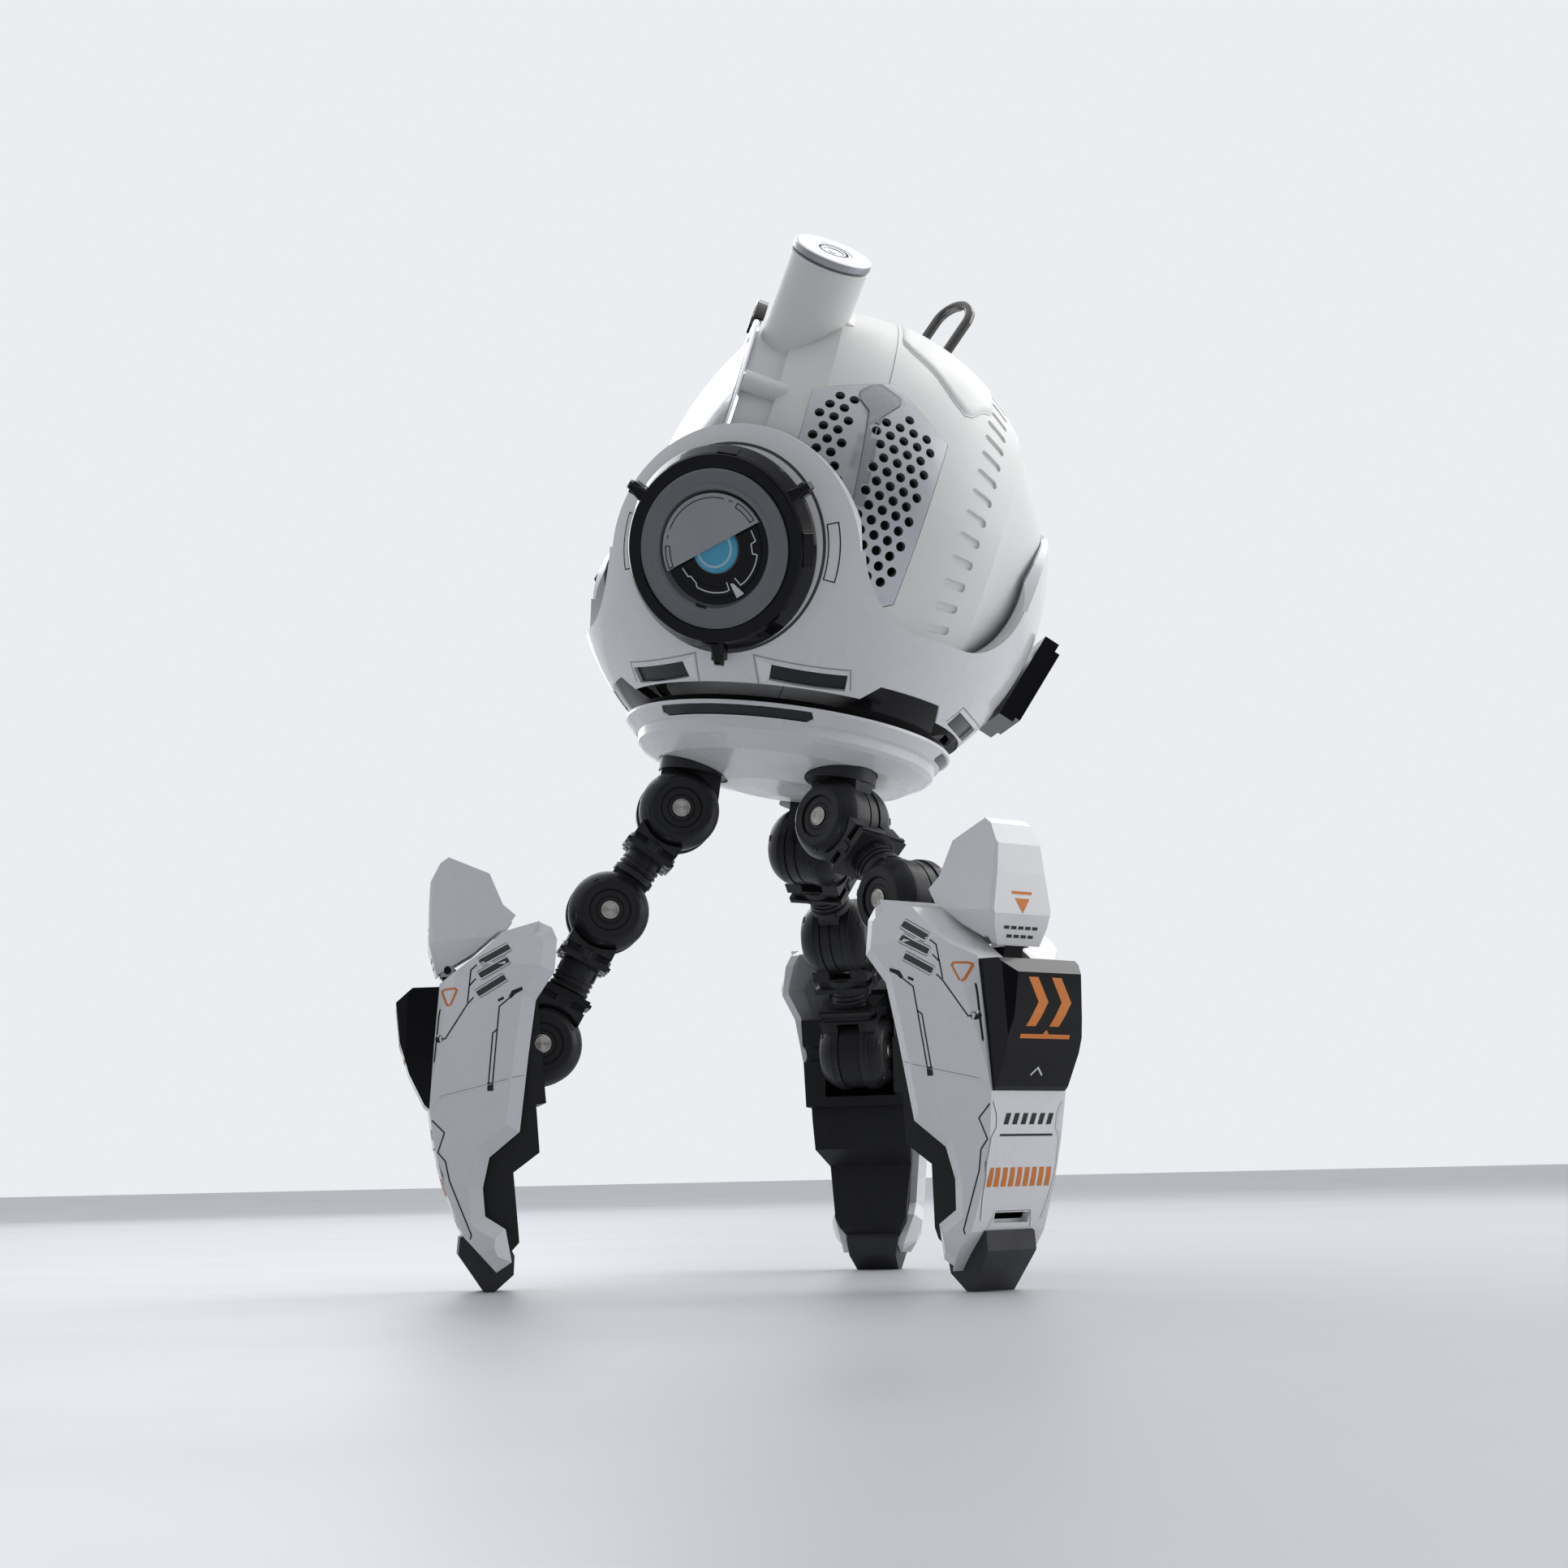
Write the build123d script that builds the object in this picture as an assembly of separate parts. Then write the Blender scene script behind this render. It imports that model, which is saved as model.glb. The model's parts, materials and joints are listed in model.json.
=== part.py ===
"""Posable three-legged robot figure: round head pod in a lobed cradle, three
knuckle-jointed legs with armoured shanks. All dimensions in millimetres.
World frame: +Z up, ground at z = 0, the face looks along -Y."""
import os
from math import sin, cos, radians, degrees, atan2, acos, asin, sqrt, pi
from build123d import *

os.makedirs("parts", exist_ok=True)

# ------------------------------------------------------------ driving sizes
X_SHIFT, Y_SHIFT = -0.1833, 11.7905        # moves the origin to the middle of the bounding box
CY, CZ = 12.15, 201.00             # head centre
TILT = 8.7                         # cradle leans back, degrees
FACE_ELEV = 18.8                   # face looks up, degrees
R_POD, POD_WALL = 62.2, 2.0
R_BOWL, BOWL_DZ = 65.0, -7.0       # cradle bowl sphere, below the head centre
LOBE_R, LOBE_DROP = 34.3, 3.1       # round lobe about each eye, its centre a little below the eye axis
EYE_LAT = -20.0
EYE_AZ = (60.0, 180.0, 300.0)
CUT_AZ = (0.0, 120.0, 240.0)
CUT_HALF, CUT_BOTTOM, CUT_CORNER = 29.0, -36.3, 22.0
RIM_N = 35.35                      # face plane from the head centre
SEAM_N = -1.0
STEP_N = 25.2
TUBE_N, TUBE_R, TUBE_TOP, TUBE_LEAN = 22.8, 10.4, 74.4, 38.0     # leans toward +X, degrees
SLOT_N0, SLOT_N1, SLOT_COUNT = -30.0, -36.6, 54
HOLE_R, HOLE_PITCH = 1.25, 3.75
# legs
SWIVEL_R, HIP_R, HIP_H = 24.5, 27.2, -81.66
FLANGE_R, FLANGE_TOP, FLANGE_BOT = 9.3, -67.1, -70.7
L1, L2 = 33.2, 35.4                # pin to pin, lower link pushed home
PULL = (3.6, 0.0, 0.0)             # how far each lower neck is drawn out of its collar
LEG_AZ = (0.0, 118.6, 240.0)
ANKLE = (65.3, 62.6)               # radius, height of the ankle pin in the shank's own frame
TOE_SHIFT = (-1.2, -1.0, -0.6)      # whole shank moved in or out
CHEEK_R, CHEEK_W, SLOT_W = 10.6, 9.6, 3.25
TONGUE_R, TONGUE_W = 10.2, 3.0
PIN_R, BORE_CLR = 2.4, 0.06

BIG = 400.0


def box(x0, x1, y0, y1, z0, z1):
    return Pos((x0 + x1) / 2, (y0 + y1) / 2, (z0 + z1) / 2) * Box(x1 - x0, y1 - y0, z1 - z0)


def cyl(r, z0, z1):
    return Pos(0, 0, (z0 + z1) / 2) * Cylinder(r, z1 - z0)


def rev(points):
    """Solid of revolution about Z from (r, z) points."""
    return revolve(make_face(Polyline([(r, 0, z) for r, z in points], close=True).edges()), Axis.Z)


def prism(points, half):
    """Polygon in (y, z) extruded both ways along X."""
    f = make_face(Polyline([(0, y, z) for y, z in points], close=True).edges())
    s = extrude(f, half, dir=(1, 0, 0), both=True)
    return s


def keep_side(solid, origin, normal):
    """Keep what lies on the inner side of a plane (against its normal)."""
    return split(solid, bisect_by=Plane(origin=origin, z_dir=normal), keep=Keep.BOTTOM)


def one(s):
    """Largest solid of a result."""
    sol = sorted(s.solids(), key=lambda q: q.volume)
    return sol[-1]


HEAD = Pos(0, CY, CZ) * Rot(-TILT, 0, 0)
POD = Pos(0, CY, CZ) * Rot(90 - FACE_ELEV, 0, 0)
OUT = {}


def add(name, shape):
    OUT[name] = Pos(X_SHIFT, Y_SHIFT, 0) * shape


# ================================================================ head
def eye_plane(az, dist, lat=EYE_LAT):
    a, e = radians(az), radians(lat)
    n = Vector(sin(a) * cos(e), -cos(a) * cos(e), sin(e))
    u = Vector(cos(a), sin(a), 0)
    return Plane(origin=n * dist, x_dir=u, z_dir=n)


pod_ball = Sphere(R_POD + 0.35)

# ---- cradle shell
bowl = Pos(0, 0, BOWL_DZ) * Sphere(R_BOWL)
bowl = bowl & box(-BIG, BIG, -BIG, BIG, -57.0, 40)
low = box(-BIG, BIG, -BIG, BIG, -80, -20)
keep = low
for az in EYE_AZ:
    keep = keep + eye_plane(az, 30).location * Pos(0, -LOBE_DROP, 0) * cyl(LOBE_R, 0, 60)
shell = (bowl & keep) - pod_ball
shell = shell - cyl(44.6, -60, -50.0)                       # open bottom
shell = shell - rev([(0, -57.1), (46.0, -57.1), (46.0, -50.0), (50.5, -44), (50.5, -20), (0, -20)])
for az in CUT_AZ:
    f = Rectangle(2 * CUT_HALF, 120)
    f = fillet(f.vertices().sort_by(Axis.Y)[:2], CUT_CORNER)
    pl = Plane(origin=(0, 0, CUT_BOTTOM + 60), x_dir=(cos(radians(az)), sin(radians(az)), 0),
               z_dir=(sin(radians(az)), -cos(radians(az)), 0))
    shell = shell - extrude(pl * f, 90)
# wells for the round modules, vents, teeth of the dark band
BEZ_R = 25.8
for az in (60.0, 300.0):
    shell = shell - eye_plane(az, 30).location * cyl(BEZ_R - 1.6, 0, 60)
vents = []
for az in EYE_AZ:
    for s in (-1, 1):
        a = az + s * 25.5
        v = Rot(0, 0, a) * (Pos(0, -47.5, -50.4) * Rot(41, 0, 0) * Box(19.5, 14, 4.6))
        vents.append(v)
        shell = shell - v
band_cut = rev([(38, -58), (50, -58), (50, -55.4), (43.0, -55.4), (38, -55.4)])
teeth = None
for az in CUT_AZ:
    t = make_face(Polyline([(-15.5, -58, 0), (15.5, -58, 0), (15.5, -55.4, 0), (10.2, -49.4, 0), (-10.2, -49.4, 0), (-15.5, -55.4, 0)], close=True).edges())
    pl = Plane(origin=(30 * sin(radians(az)), -30 * cos(radians(az)), 0), x_dir=(cos(radians(az)), sin(radians(az)), 0),
               z_dir=(sin(radians(az)), -cos(radians(az)), 0))
    t = extrude(pl * t, 40)
    teeth = t if teeth is None else teeth + t
band_zone = (band_cut + (teeth & box(-BIG, BIG, -BIG, BIG, -57.0, -40)))
shell = shell - band_zone
# seat for the rear panel
REAR_PL = Plane(origin=(0, 60.9, -31.5), x_dir=(-1, 0, 0), z_dir=(0, cos(radians(-24)), sin(radians(-24))))
rear_cut = REAR_PL.location * Box(24.0, 26.0, 7.0)
shell = shell - rear_cut
add("cradle_shell", HEAD * one(shell))

# ---- dark band with teeth
band = (Pos(0, 0, BOWL_DZ) * Sphere(R_BOWL - 0.35)) & band_zone
band = band - rev([(0, -60), (38.5, -60), (38.5, -56), (40, -54), (44.5, -50.0), (46.5, -46), (0, -40)])
band = band & box(-BIG, BIG, -BIG, BIG, -57.0, -40)
bs = [s for s in band.solids()]
add("accent_band", HEAD * (bs[0] if len(bs) == 1 else Compound(children=bs)))

# ---- base ring: upper flange with three slits, lower step
ring = rev([(36.0, -57.1), (44.2, -57.1), (44.2, -57.9), (41.6, -60.6), (40.6, -60.9), (40.2, -63.4), (38.9, -64.6), (37.2, -64.6), (37.2, -62.0), (36.0, -62.0)])
slits = []
for az in EYE_AZ:
    s = Rot(0, 0, az) * (Pos(0, -42.2, -59.3) * Box(42, 11.0, 2.4))
    sl = s & rev([(38.6, -56), (46, -56), (46, -63), (38.6, -63)])
    ring = ring - sl
sl_all = []
for az in EYE_AZ:
    s = Rot(0, 0, az) * (Pos(0, -42.2, -59.3) * Box(41.8, 11.0, 2.3))
    sl = s & rev([(38.7, -57.95), (43.6, -57.95), (41.3, -60.4), (38.7, -60.7)])
    sl_all += list(sl.solids())

# ---- base plate with three flat hip seats
plate = rev([(0, -63.9), (37.3, -63.9), (37.3, -64.6), (38.8, -64.6), (33.6, -67.4), (15.1, -71.2), (0, -72.6)])
plate = plate - cyl(12, -69.5, -60)
for az in CUT_AZ:
    plate = plate - Rot(0, 0, az) * (Pos(0, -SWIVEL_R, 0) * (cyl(FLANGE_R + 0.3, -80, FLANGE_TOP + 0.25) + cyl(4.06, -80, -60)))
add("base_plate", HEAD * one(plate + ring))

# ---- vent inserts (dark pockets)
vi = []
for az in EYE_AZ:
    for s in (-1, 1):
        a = az + s * 25.5
        b = Rot(0, 0, a) * (Pos(0, -47.5, -50.4) * Rot(41, 0, 0) * (Pos(0, 2.2, 0) * Box(19.3, 4.0, 4.4)))
        b = b & ((Pos(0, 0, BOWL_DZ) * Sphere(R_BOWL - 1.0)))
        b = b - pod_ball
        vi += list(b.solids())
add("dark_inserts", HEAD * Compound(children=vi + sl_all))

# ---- pod shells
CONE_N = 14.0
CONE_R = sqrt(R_POD ** 2 - CONE_N ** 2)
ball = Sphere(R_POD) & box(-BIG, BIG, -BIG, BIG, -BIG, CONE_N)
front_cone = rev([(0, CONE_N - 0.5), (CONE_R - 0.3, CONE_N - 0.5), (CONE_R, CONE_N), (52.0, STEP_N), (50.3, STEP_N + 0.4), (49.3, RIM_N - 1.0), (0, RIM_N - 1.0)])
solid_pod = ball + front_cone
inner_pod = (Sphere(R_POD - POD_WALL) & box(-BIG, BIG, -BIG, BIG, -BIG, 14.0)) + rev([(0, 13.5), (57.8, 13.5), (57.6, 15.0), (48.8, STEP_N), (47.2, RIM_N - 3), (0, RIM_N - 3)])
mouth = cyl(46.2, 20, 60)
pod_shell = solid_pod - inner_pod - mouth
# grille windows
GR = [(17.2, 19.5), (-2.2, 28.6), (-20.0, 17.6), (-19.4, -26.2), (-15.2, -28.9), (6.5, -24.0), (16.6, -9.0)]


def grille_prism(grow, x0, x1, sgn):
    pts = [(n, v) for n, v in GR]
    f = make_face(Polyline([(0, v, n) for n, v in pts], close=True).edges())
    f = Plane.YZ * Pos(0, 0, 0) * make_face(Polyline([(v, n, 0) for n, v in pts], close=True).edges())
    if abs(grow) > 1e-6:
        f = offset(f, grow)
    return extrude(Pos(sgn * x0, 0, 0) * f, x1 - x0, dir=(sgn, 0, 0))


for sgn in (-1, 1):
    pod_shell = pod_shell - grille_prism(-2.0, 30, 80, sgn)
    seat = grille_prism(0.15, 30, 80, sgn) & (Sphere(R_POD + 1) - Sphere(R_POD - 1.6))
    pod_shell = pod_shell - seat
# tube socket
TUBE = Pos(0, 0, TUBE_N) * Rot(0, 0, -TUBE_LEAN) * Rot(-90, 0, 0)      # local Z runs up the tube
tube_hole = TUBE * cyl(8.0, 30, 80)
pod_shell = pod_shell - tube_hole
pod_front = pod_shell & box(-BIG, BIG, -BIG, BIG, SEAM_N, BIG)
pod_rear = pod_shell & box(-BIG, BIG, -BIG, BIG, -BIG, SEAM_N - 0.1)
pod_front = one(pod_front)
pod_rear = one(pod_rear)
# cooling slots round the back
a0, a1 = asin(SLOT_N0 / R_POD), asin(SLOT_N1 / R_POD)
am, ln = (a0 + a1) / 2, R_POD * abs(a1 - a0)
slots = []
for i in range(SLOT_COUNT):
    s = Rot(0, 0, (i + 0.5) * 360 / SLOT_COUNT) * Rot(0, -degrees(am), 0) * (Pos(R_POD, 0, 0) * Rot(0, 90, 0) * extrude(SlotOverall(ln, 2.3), 0.8, both=True))
    slots += s.solids()
pod_rear = pod_rear - slots
# stepped rear cap ring
pod_rear = pod_rear - rev([(R_POD * cos(radians(42.6)), -42.1), (R_POD * cos(radians(42.6)) + 8, -42.1), (60, -60), (10, -70), (30, -53.3), (41.6, -44.6)])
pod_rear = one(pod_rear)
# ---- side pegs of the face, moulded with the front shell
for sgn in (-1, 1):
    pod_front = pod_front + ((Pos(sgn * 47.8, 18.6, 0) * cyl(2.8, 17.0, RIM_N - 1.0)) - inner_pod)
pod_front = one(pod_front)
add("pod_front_shell", POD * pod_front)

# ---- hoop handle, stands on the rear shell
def on_pod(x, n, r=R_POD):
    return Vector(x, sqrt(r * r - x * x - n * n), n)


pa, pb = on_pod(5.0, -17.5), on_pod(-5.0, -10.5)
mid = (pa + pb) * 0.5
up = (mid.normalized() + Vector(0, 0.10, -0.10)).normalized()
dv = (pa - pb).normalized()
up = (up - dv * up.dot(dv)).normalized()
HOOP_HALF = (pa - pb).length / 2
HP = Plane(origin=mid, x_dir=dv, z_dir=up).location
HOOP_ROD, HOOP_RISE = 1.45, 14.6
hoop = HP * (Pos(HOOP_HALF, 0, HOOP_RISE / 2 - 1.5) * Cylinder(HOOP_ROD, HOOP_RISE + 3.0) + Pos(-HOOP_HALF, 0, HOOP_RISE / 2 - 1.5) * Cylinder(HOOP_ROD, HOOP_RISE + 3.0)
             + Pos(0, 0, HOOP_RISE) * Rot(90, 0, 0) * (Torus(HOOP_HALF, HOOP_ROD) & box(-20, 20, 0, 20, -5, 5)))
pod_rear = pod_rear - hoop
pod_rear = one(pod_rear)
add("pod_rear_shell", POD * pod_rear)
hoop = one(hoop)
add("hoop_handle", POD * hoop)

# ---- grilles
def grille(sgn):
    holes = []
    # two fields of round holes either side of the raised strip
    dv_, dn_ = HOLE_PITCH * 0.866, HOLE_PITCH
    for i in range(-9, 10):
        for j in range(-7, 8):
            v = i * dv_
            n = j * dn_ + (dn_ / 2 if i % 2 else 0)
            n -= 1.0
            if not inside(n, v, -2.6):
                continue
            # strip line n at height v, slanted like the plate
            ns = 1.5 + (v - 24.8) * (3.4 / 37.3) + 2.0
            if abs(n - ns) < 3.1:
                continue
            if v > 17.5 and -7.8 < n < 4:
                continue
            x = sqrt(max(R_POD ** 2 - v * v - n * n, 1))
            holes.append((v, n, x))
    for v, n, x in holes:
        d = Vector(sgn * x, v, n).normalized()
        c = Pos(*(d * (R_POD - 0.2))) * (Plane(origin=(0, 0, 0), z_dir=d).location * Cylinder(HOLE_R, 5))
        yield c


def inside(n, v, m):
    """Signed: point (n, v) is inside the grille outline by at least -m."""
    pts = GR
    ok = True
    N = len(pts)
    for k in range(N):
        (n0, v0), (n1, v1) = pts[k], pts[(k + 1) % N]
        ex, ey = n1 - n0, v1 - v0
        L = sqrt(ex * ex + ey * ey)
        # polygon runs counter-clockwise in (n, v) or clockwise; use centroid sign
        cx, cy = -3.0, -3.0
        s = (ex * (v - v0) - ey * (n - n0)) / L
        sc = (ex * (cy - v0) - ey * (cx - n0)) / L
        if s * (1 if sc > 0 else -1) < -m:
            ok = False
    return ok


grilles = []
for sgn, nm in ((1, "left"), (-1, "right")):
    g = grille_prism(0.0, 30, 80, sgn) & (Sphere(R_POD + 0.2) - Sphere(R_POD - 1.55))
    g = one(g)
    tools = [s for c in grille(sgn) for s in c.solids()]
    g = one(g - tools)
    grilles.append(g)
add("side_grilles", POD * Compound(children=grilles))

# ---- speakers behind the grilles, inside the pod
sp = []
for sgn in (-1, 1):
    b = Rot(0, 90 * sgn, 0) * (rev([(0, 34), (9, 34), (9, 44), (20, 51.5), (20, 53.0), (0, 53.0)]))
    sp += list(b.solids())
add("speaker_drivers", POD * Compound(children=sp))
add("circuit_board", POD * (Pos(0, 0, 6.0) * Cylinder(30, 1.6)))
add("battery_pack", POD * (Pos(0, -6, -14.0) * Box(46, 38, 22)))

# ---- face: rim, screen, clear dome
rim = rev([(45.9, RIM_N - 0.9), (50.6, RIM_N - 0.9), (50.6, RIM_N + 0.1), (45.9, RIM_N + 0.1)])
add("face_rim", POD * rim)
DOME_APEX, DOME_R, DOME_T = 47.0, 90.0, 1.8      # shallow clear cover over a black face of the same curve
DC = DOME_APEX - DOME_R
screen = Pos(0, 0, DC) * (Sphere(DOME_R - DOME_T - 1.1) - Sphere(DOME_R - DOME_T - 3.3))
screen = screen & cyl(44.4, 20, 60)
screen = screen + rev([(43.2, 30.6), (46.0, 30.6), (46.0, 34.4), (44.2, 34.4), (43.2, 33.0)])
add("face_screen", POD * one(screen))
dome = Pos(0, 0, DC) * (Sphere(DOME_R) - Sphere(DOME_R - DOME_T))
dome = dome & box(-BIG, BIG, -BIG, BIG, RIM_N - 0.8, BIG)
dome = dome & cyl(45.8, 0, 100)
add("face_dome", POD * one(dome))

# ---- top tube and push cap
tube = TUBE * rev([(8.0, 40), (TUBE_R, 40), (TUBE_R, TUBE_TOP), (9.0, TUBE_TOP), (9.0, TUBE_TOP - 4.0), (5.0, TUBE_TOP - 4.0), (5.0, TUBE_TOP - 6.0), (8.0, TUBE_TOP - 6.0)])
tube = tube - solid_pod
tube = one(tube)
add("top_tube", POD * tube)
cap = TUBE * rev([(0, TUBE_TOP - 3.0), (8.9, TUBE_TOP - 3.0), (8.9, TUBE_TOP + 0.8), (TUBE_R + 0.2, TUBE_TOP + 0.8), (TUBE_R + 0.2, TUBE_TOP + 2.6), (4.2, TUBE_TOP + 2.6), (4.2, TUBE_TOP + 1.9), (2.6, TUBE_TOP + 1.9), (2.6, TUBE_TOP + 2.4), (0, TUBE_TOP + 2.4)])
add("top_button", POD * cap)

# ---- round side modules (bezel, face, core, turning lid)
bez, core = [], []
for az in (60.0, 300.0):
    P = eye_plane(az, 0).location
    b = rev([(21.0, 63.2), (24.0, 63.2), (24.0, 66.0), (25.8, 66.0), (23.4, 70.3), (20.2, 70.3), (20.2, 66.5), (21.0, 66.0)])
    b = P * b
    for k, ang in enumerate((33, 147, 270)):
        b = b + P * Rot(0, 0, ang) * (Pos(25.5, 0, 66.9) * Box(5.2, 3.2, 2.8))
    b = b - (Pos(0, 0, BOWL_DZ) * Sphere(R_BOWL) & P * (cyl(40, 0, 80) - cyl(24.15, 0, 80)))
    bez.append(one(b))
    c = P * rev([(0, 63.4), (20.9, 63.4), (20.9, 65.8), (19.9, 66.4), (19.9, 70.6), (14.8, 70.6), (14.0, 68.6), (6.2, 68.6), (6.2, 69.4), (0, 69.9)])
    core.append(one(c))
add("eye_bezels", HEAD * Compound(children=bez))
add("eye_rings", HEAD * Compound(children=core))
LID_ANG = 27.0
for az, nm, sg in ((60.0, "left", 1), (300.0, "right", -1)):
    P = eye_plane(az, 0).location
    lid = cyl(13.85, 69.95, 70.6)
    half = Rot(0, 0, sg * LID_ANG) * box(-30, 30, 0.6, 40, 60, 80)
    lid = lid & half
    lid = lid + (Rot(0, 0, 0) * (cyl(13.85, 68.75, 70.6) & half & (cyl(30, 0, 90) - cyl(13.0, 0, 90))))
    lid = P * lid
    add("eyelid_" + nm, HEAD * one(lid))

# ---- rear panel
rp = REAR_PL.location * (Pos(0, 0, 1.2) * Box(23.7, 25.7, 4.4) + Pos(0, 0, 4.2) * Box(21.0, 22.0, 1.8))
rp = rp - pod_ball
add("rear_panel", HEAD * one(rp))

# ================================================================ legs
def cheek_pair():
    """Two domed cheeks about the X axis through the origin."""
    half = rev([(0, SLOT_W), (CHEEK_R, SLOT_W), (CHEEK_R, 5.6), (7.6, CHEEK_W), (5.6, CHEEK_W), (5.6, CHEEK_W - 0.9), (0, CHEEK_W - 0.9)])
    r = Rot(0, 90, 0) * half
    l = Rot(0, -90, 0) * half
    return r, l


COL0, COL1 = 10.9, 15.2            # collar starts and ends this far from the pin


def fork(peg=True):
    """Cheeks at the origin, collar and peg down -Z."""
    r, l = cheek_pair()
    arm = prism([(-6.3, -4.0), (6.3, -4.0), (6.5, -COL1), (-6.5, -COL1)], 8.2)
    arm = arm - Rot(0, 90, 0) * Cylinder(CHEEK_R - 0.1, 40) 
    arm = arm + prism([(-6.3, -3.0), (6.3, -3.0), (6.4, -11.5), (-6.4, -11.5)], 6.6)
    arm = arm - box(-SLOT_W, SLOT_W, -40, 40, -COL0, 40)
    arm = arm - Rot(0, 90, 0) * (Cylinder(COL0, 2 * SLOT_W))
    # fins near the collar's mouth
    arm = arm + box(-7.6, 7.6, -7.2, 7.2, -14.6, -13.6) 
    arm = arm - box(-9, 9, 2.2, 9, -13.4, -11.6) - box(-9, 9, -9, -2.2, -13.4, -11.6) + box(-6.6, 6.6, -6.0, 6.0, -13.5, -11.5)
    body = arm + r + l
    body = body - box(-SLOT_W, SLOT_W, -40, 40, -COL0, 40)
    body = body - cyl(5.06, -20, -11.6)
    if peg:
        body = body + cyl(2.4, -18.0, -11.5)
    body = body - Rot(0, 90, 0) * Cylinder(PIN_R, 60)
    return one(body)


def neck_body(z0, z1):
    """Ribbed tube between two stations, with the socket for the fork's peg."""
    n = rev([(0, z1), (5.0, z1), (5.0, z1 + 1.2), (5.45, z1 + 1.6), (5.45, z1 + 2.6), (5.0, z1 + 3.0), (5.0, z0), (0, z0)])
    return n


def tongue(length):
    """Centre disc at -length, with web up to the neck."""
    t = Rot(0, 90, 0) * Cylinder(TONGUE_R, 2 * TONGUE_W)
    t = t - Rot(0, 90, 0) * (Cylinder(TONGUE_R + 1, 0.5) - Cylinder(TONGUE_R - 0.4, 0.5))
    t = Pos(0, 0, -length) * t
    return t


def upper_neck():
    z_end = -(L1 - 11.3)
    n = rev([(0, z_end), (5.7, z_end), (5.7, z_end + 1.6), (5.0, z_end + 2.2), (5.0, -11.75), (0, -11.75)])
    n = n + box(-TONGUE_W, TONGUE_W, -5.2, 5.2, -(L1 - 6), z_end + 0.5)
    n = n + tongue(L1)
    n = n - cyl(2.46, -18.6, -5)
    n = n - Pos(0, 0, -L1) * Rot(0, 90, 0) * Cylinder(PIN_R + BORE_CLR, 60)
    return one(n)


def lower_neck():
    """Tube with the ankle fork at its lower end (pin at -L2)."""
    f = Pos(0, 0, -L2) * Rot(180, 0, 0) * fork(peg=False)
    z_end = -(L2 - 11.6)
    n = rev([(0, z_end - 0.8), (5.3, z_end - 0.8), (5.3, z_end + 2.0), (5.0, z_end + 4.2), (5.4, z_end + 4.6), (5.4, z_end + 5.4), (5.0, z_end + 5.8), (5.0, -11.75), (0, -11.75)])
    n = f + n
    n = n - cyl(2.46, -18.6, -5)
    return one(n)


def pin():
    p = Rot(0, 90, 0) * rev([(0, -CHEEK_W + 0.2), (PIN_R, -CHEEK_W + 0.2), (PIN_R, CHEEK_W - 0.2), (0, CHEEK_W - 0.2)])
    return one(p)


def yoke():
    """Swivel flange and tongue; origin at the hip pin, Z along the swivel axis, +Y toward the middle."""
    dy = HIP_R - SWIVEL_R                       # swivel axis sits nearer the middle
    top = FLANGE_TOP - HIP_H
    bot = FLANGE_BOT - HIP_H
    f = Pos(0, dy, 0) * (cyl(FLANGE_R, bot, top) + cyl(4.0, top - 0.1, -63.6 - HIP_H) + cyl(4.9, -63.6 - HIP_H, -62.2 - HIP_H))
    t = Rot(0, 90, 0) * Cylinder(TONGUE_R, 2 * TONGUE_W)
    t = t - Rot(0, 90, 0) * (Cylinder(TONGUE_R + 1, 0.5) - Cylinder(TONGUE_R - 0.4, 0.5))
    t = t + box(-TONGUE_W, TONGUE_W, -6.1, 10.2, 0, bot + 0.5)
    t = t - Rot(0, 90, 0) * Cylinder(PIN_R + BORE_CLR, 60)
    return one(f + t)


YOKE, FORK, UNECK, LNECK, PIN = yoke(), fork(), upper_neck(), lower_neck(), pin()

# ---------------------------------------------------------------- shank (leg 0 frame: y = -radius)
# the rear edge steps in and out down the leg
S_OUT = [(66.5, 93.2), (76.0, 90.6), (82.0, 85.0), (91.6, 77.9), (93.0, 62.0), (94.1, 45.9), (92.7, 36.5), (90.3, 26.6), (86.5, 16.6), (85.3, 14.0), (77.0, 4.9), (73.2, 7.5), (74.9, 15.8), (80.0, 19.1), (80.6, 26.2), (79.0, 33.8), (71.5, 40.1), (69.4, 59.3), (67.6, 73.0), (63.0, 80.0), (62.2, 88.5), (63.4, 91.6)]


def ry(points):
    return [(-r, z) for r, z in points]


def width_cut(s, d):
    """Taper the block with flat facets; d is how far the facets move inward."""
    def facet(s, r0, z0, p0, br, bz):
        for sg in (-1, 1):
            # plane p = p0 + br (r - r0) + bz (z - z0); outward normal (1, -br, -bz) in (p, r, z)
            k = sqrt(1 + br * br + bz * bz)
            s = keep_side(s, (sg * (p0 - d * k), -r0, z0), (sg, br, -bz))
        return s
    s = facet(s, 67.0, 72.0, 23.2, -0.32, 0.096)
    s = facet(s, 72.0, 47.0, 19.6, -0.25, 0.13)
    s = facet(s, 66.0, 88.0, 22.6, -0.30, -0.30)
    s = facet(s, 84.0, 8.0, 11.2, -0.10, 0.50)
    return s


outer = prism(ry(S_OUT), 30)
outer = width_cut(outer, 0.0)
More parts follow.
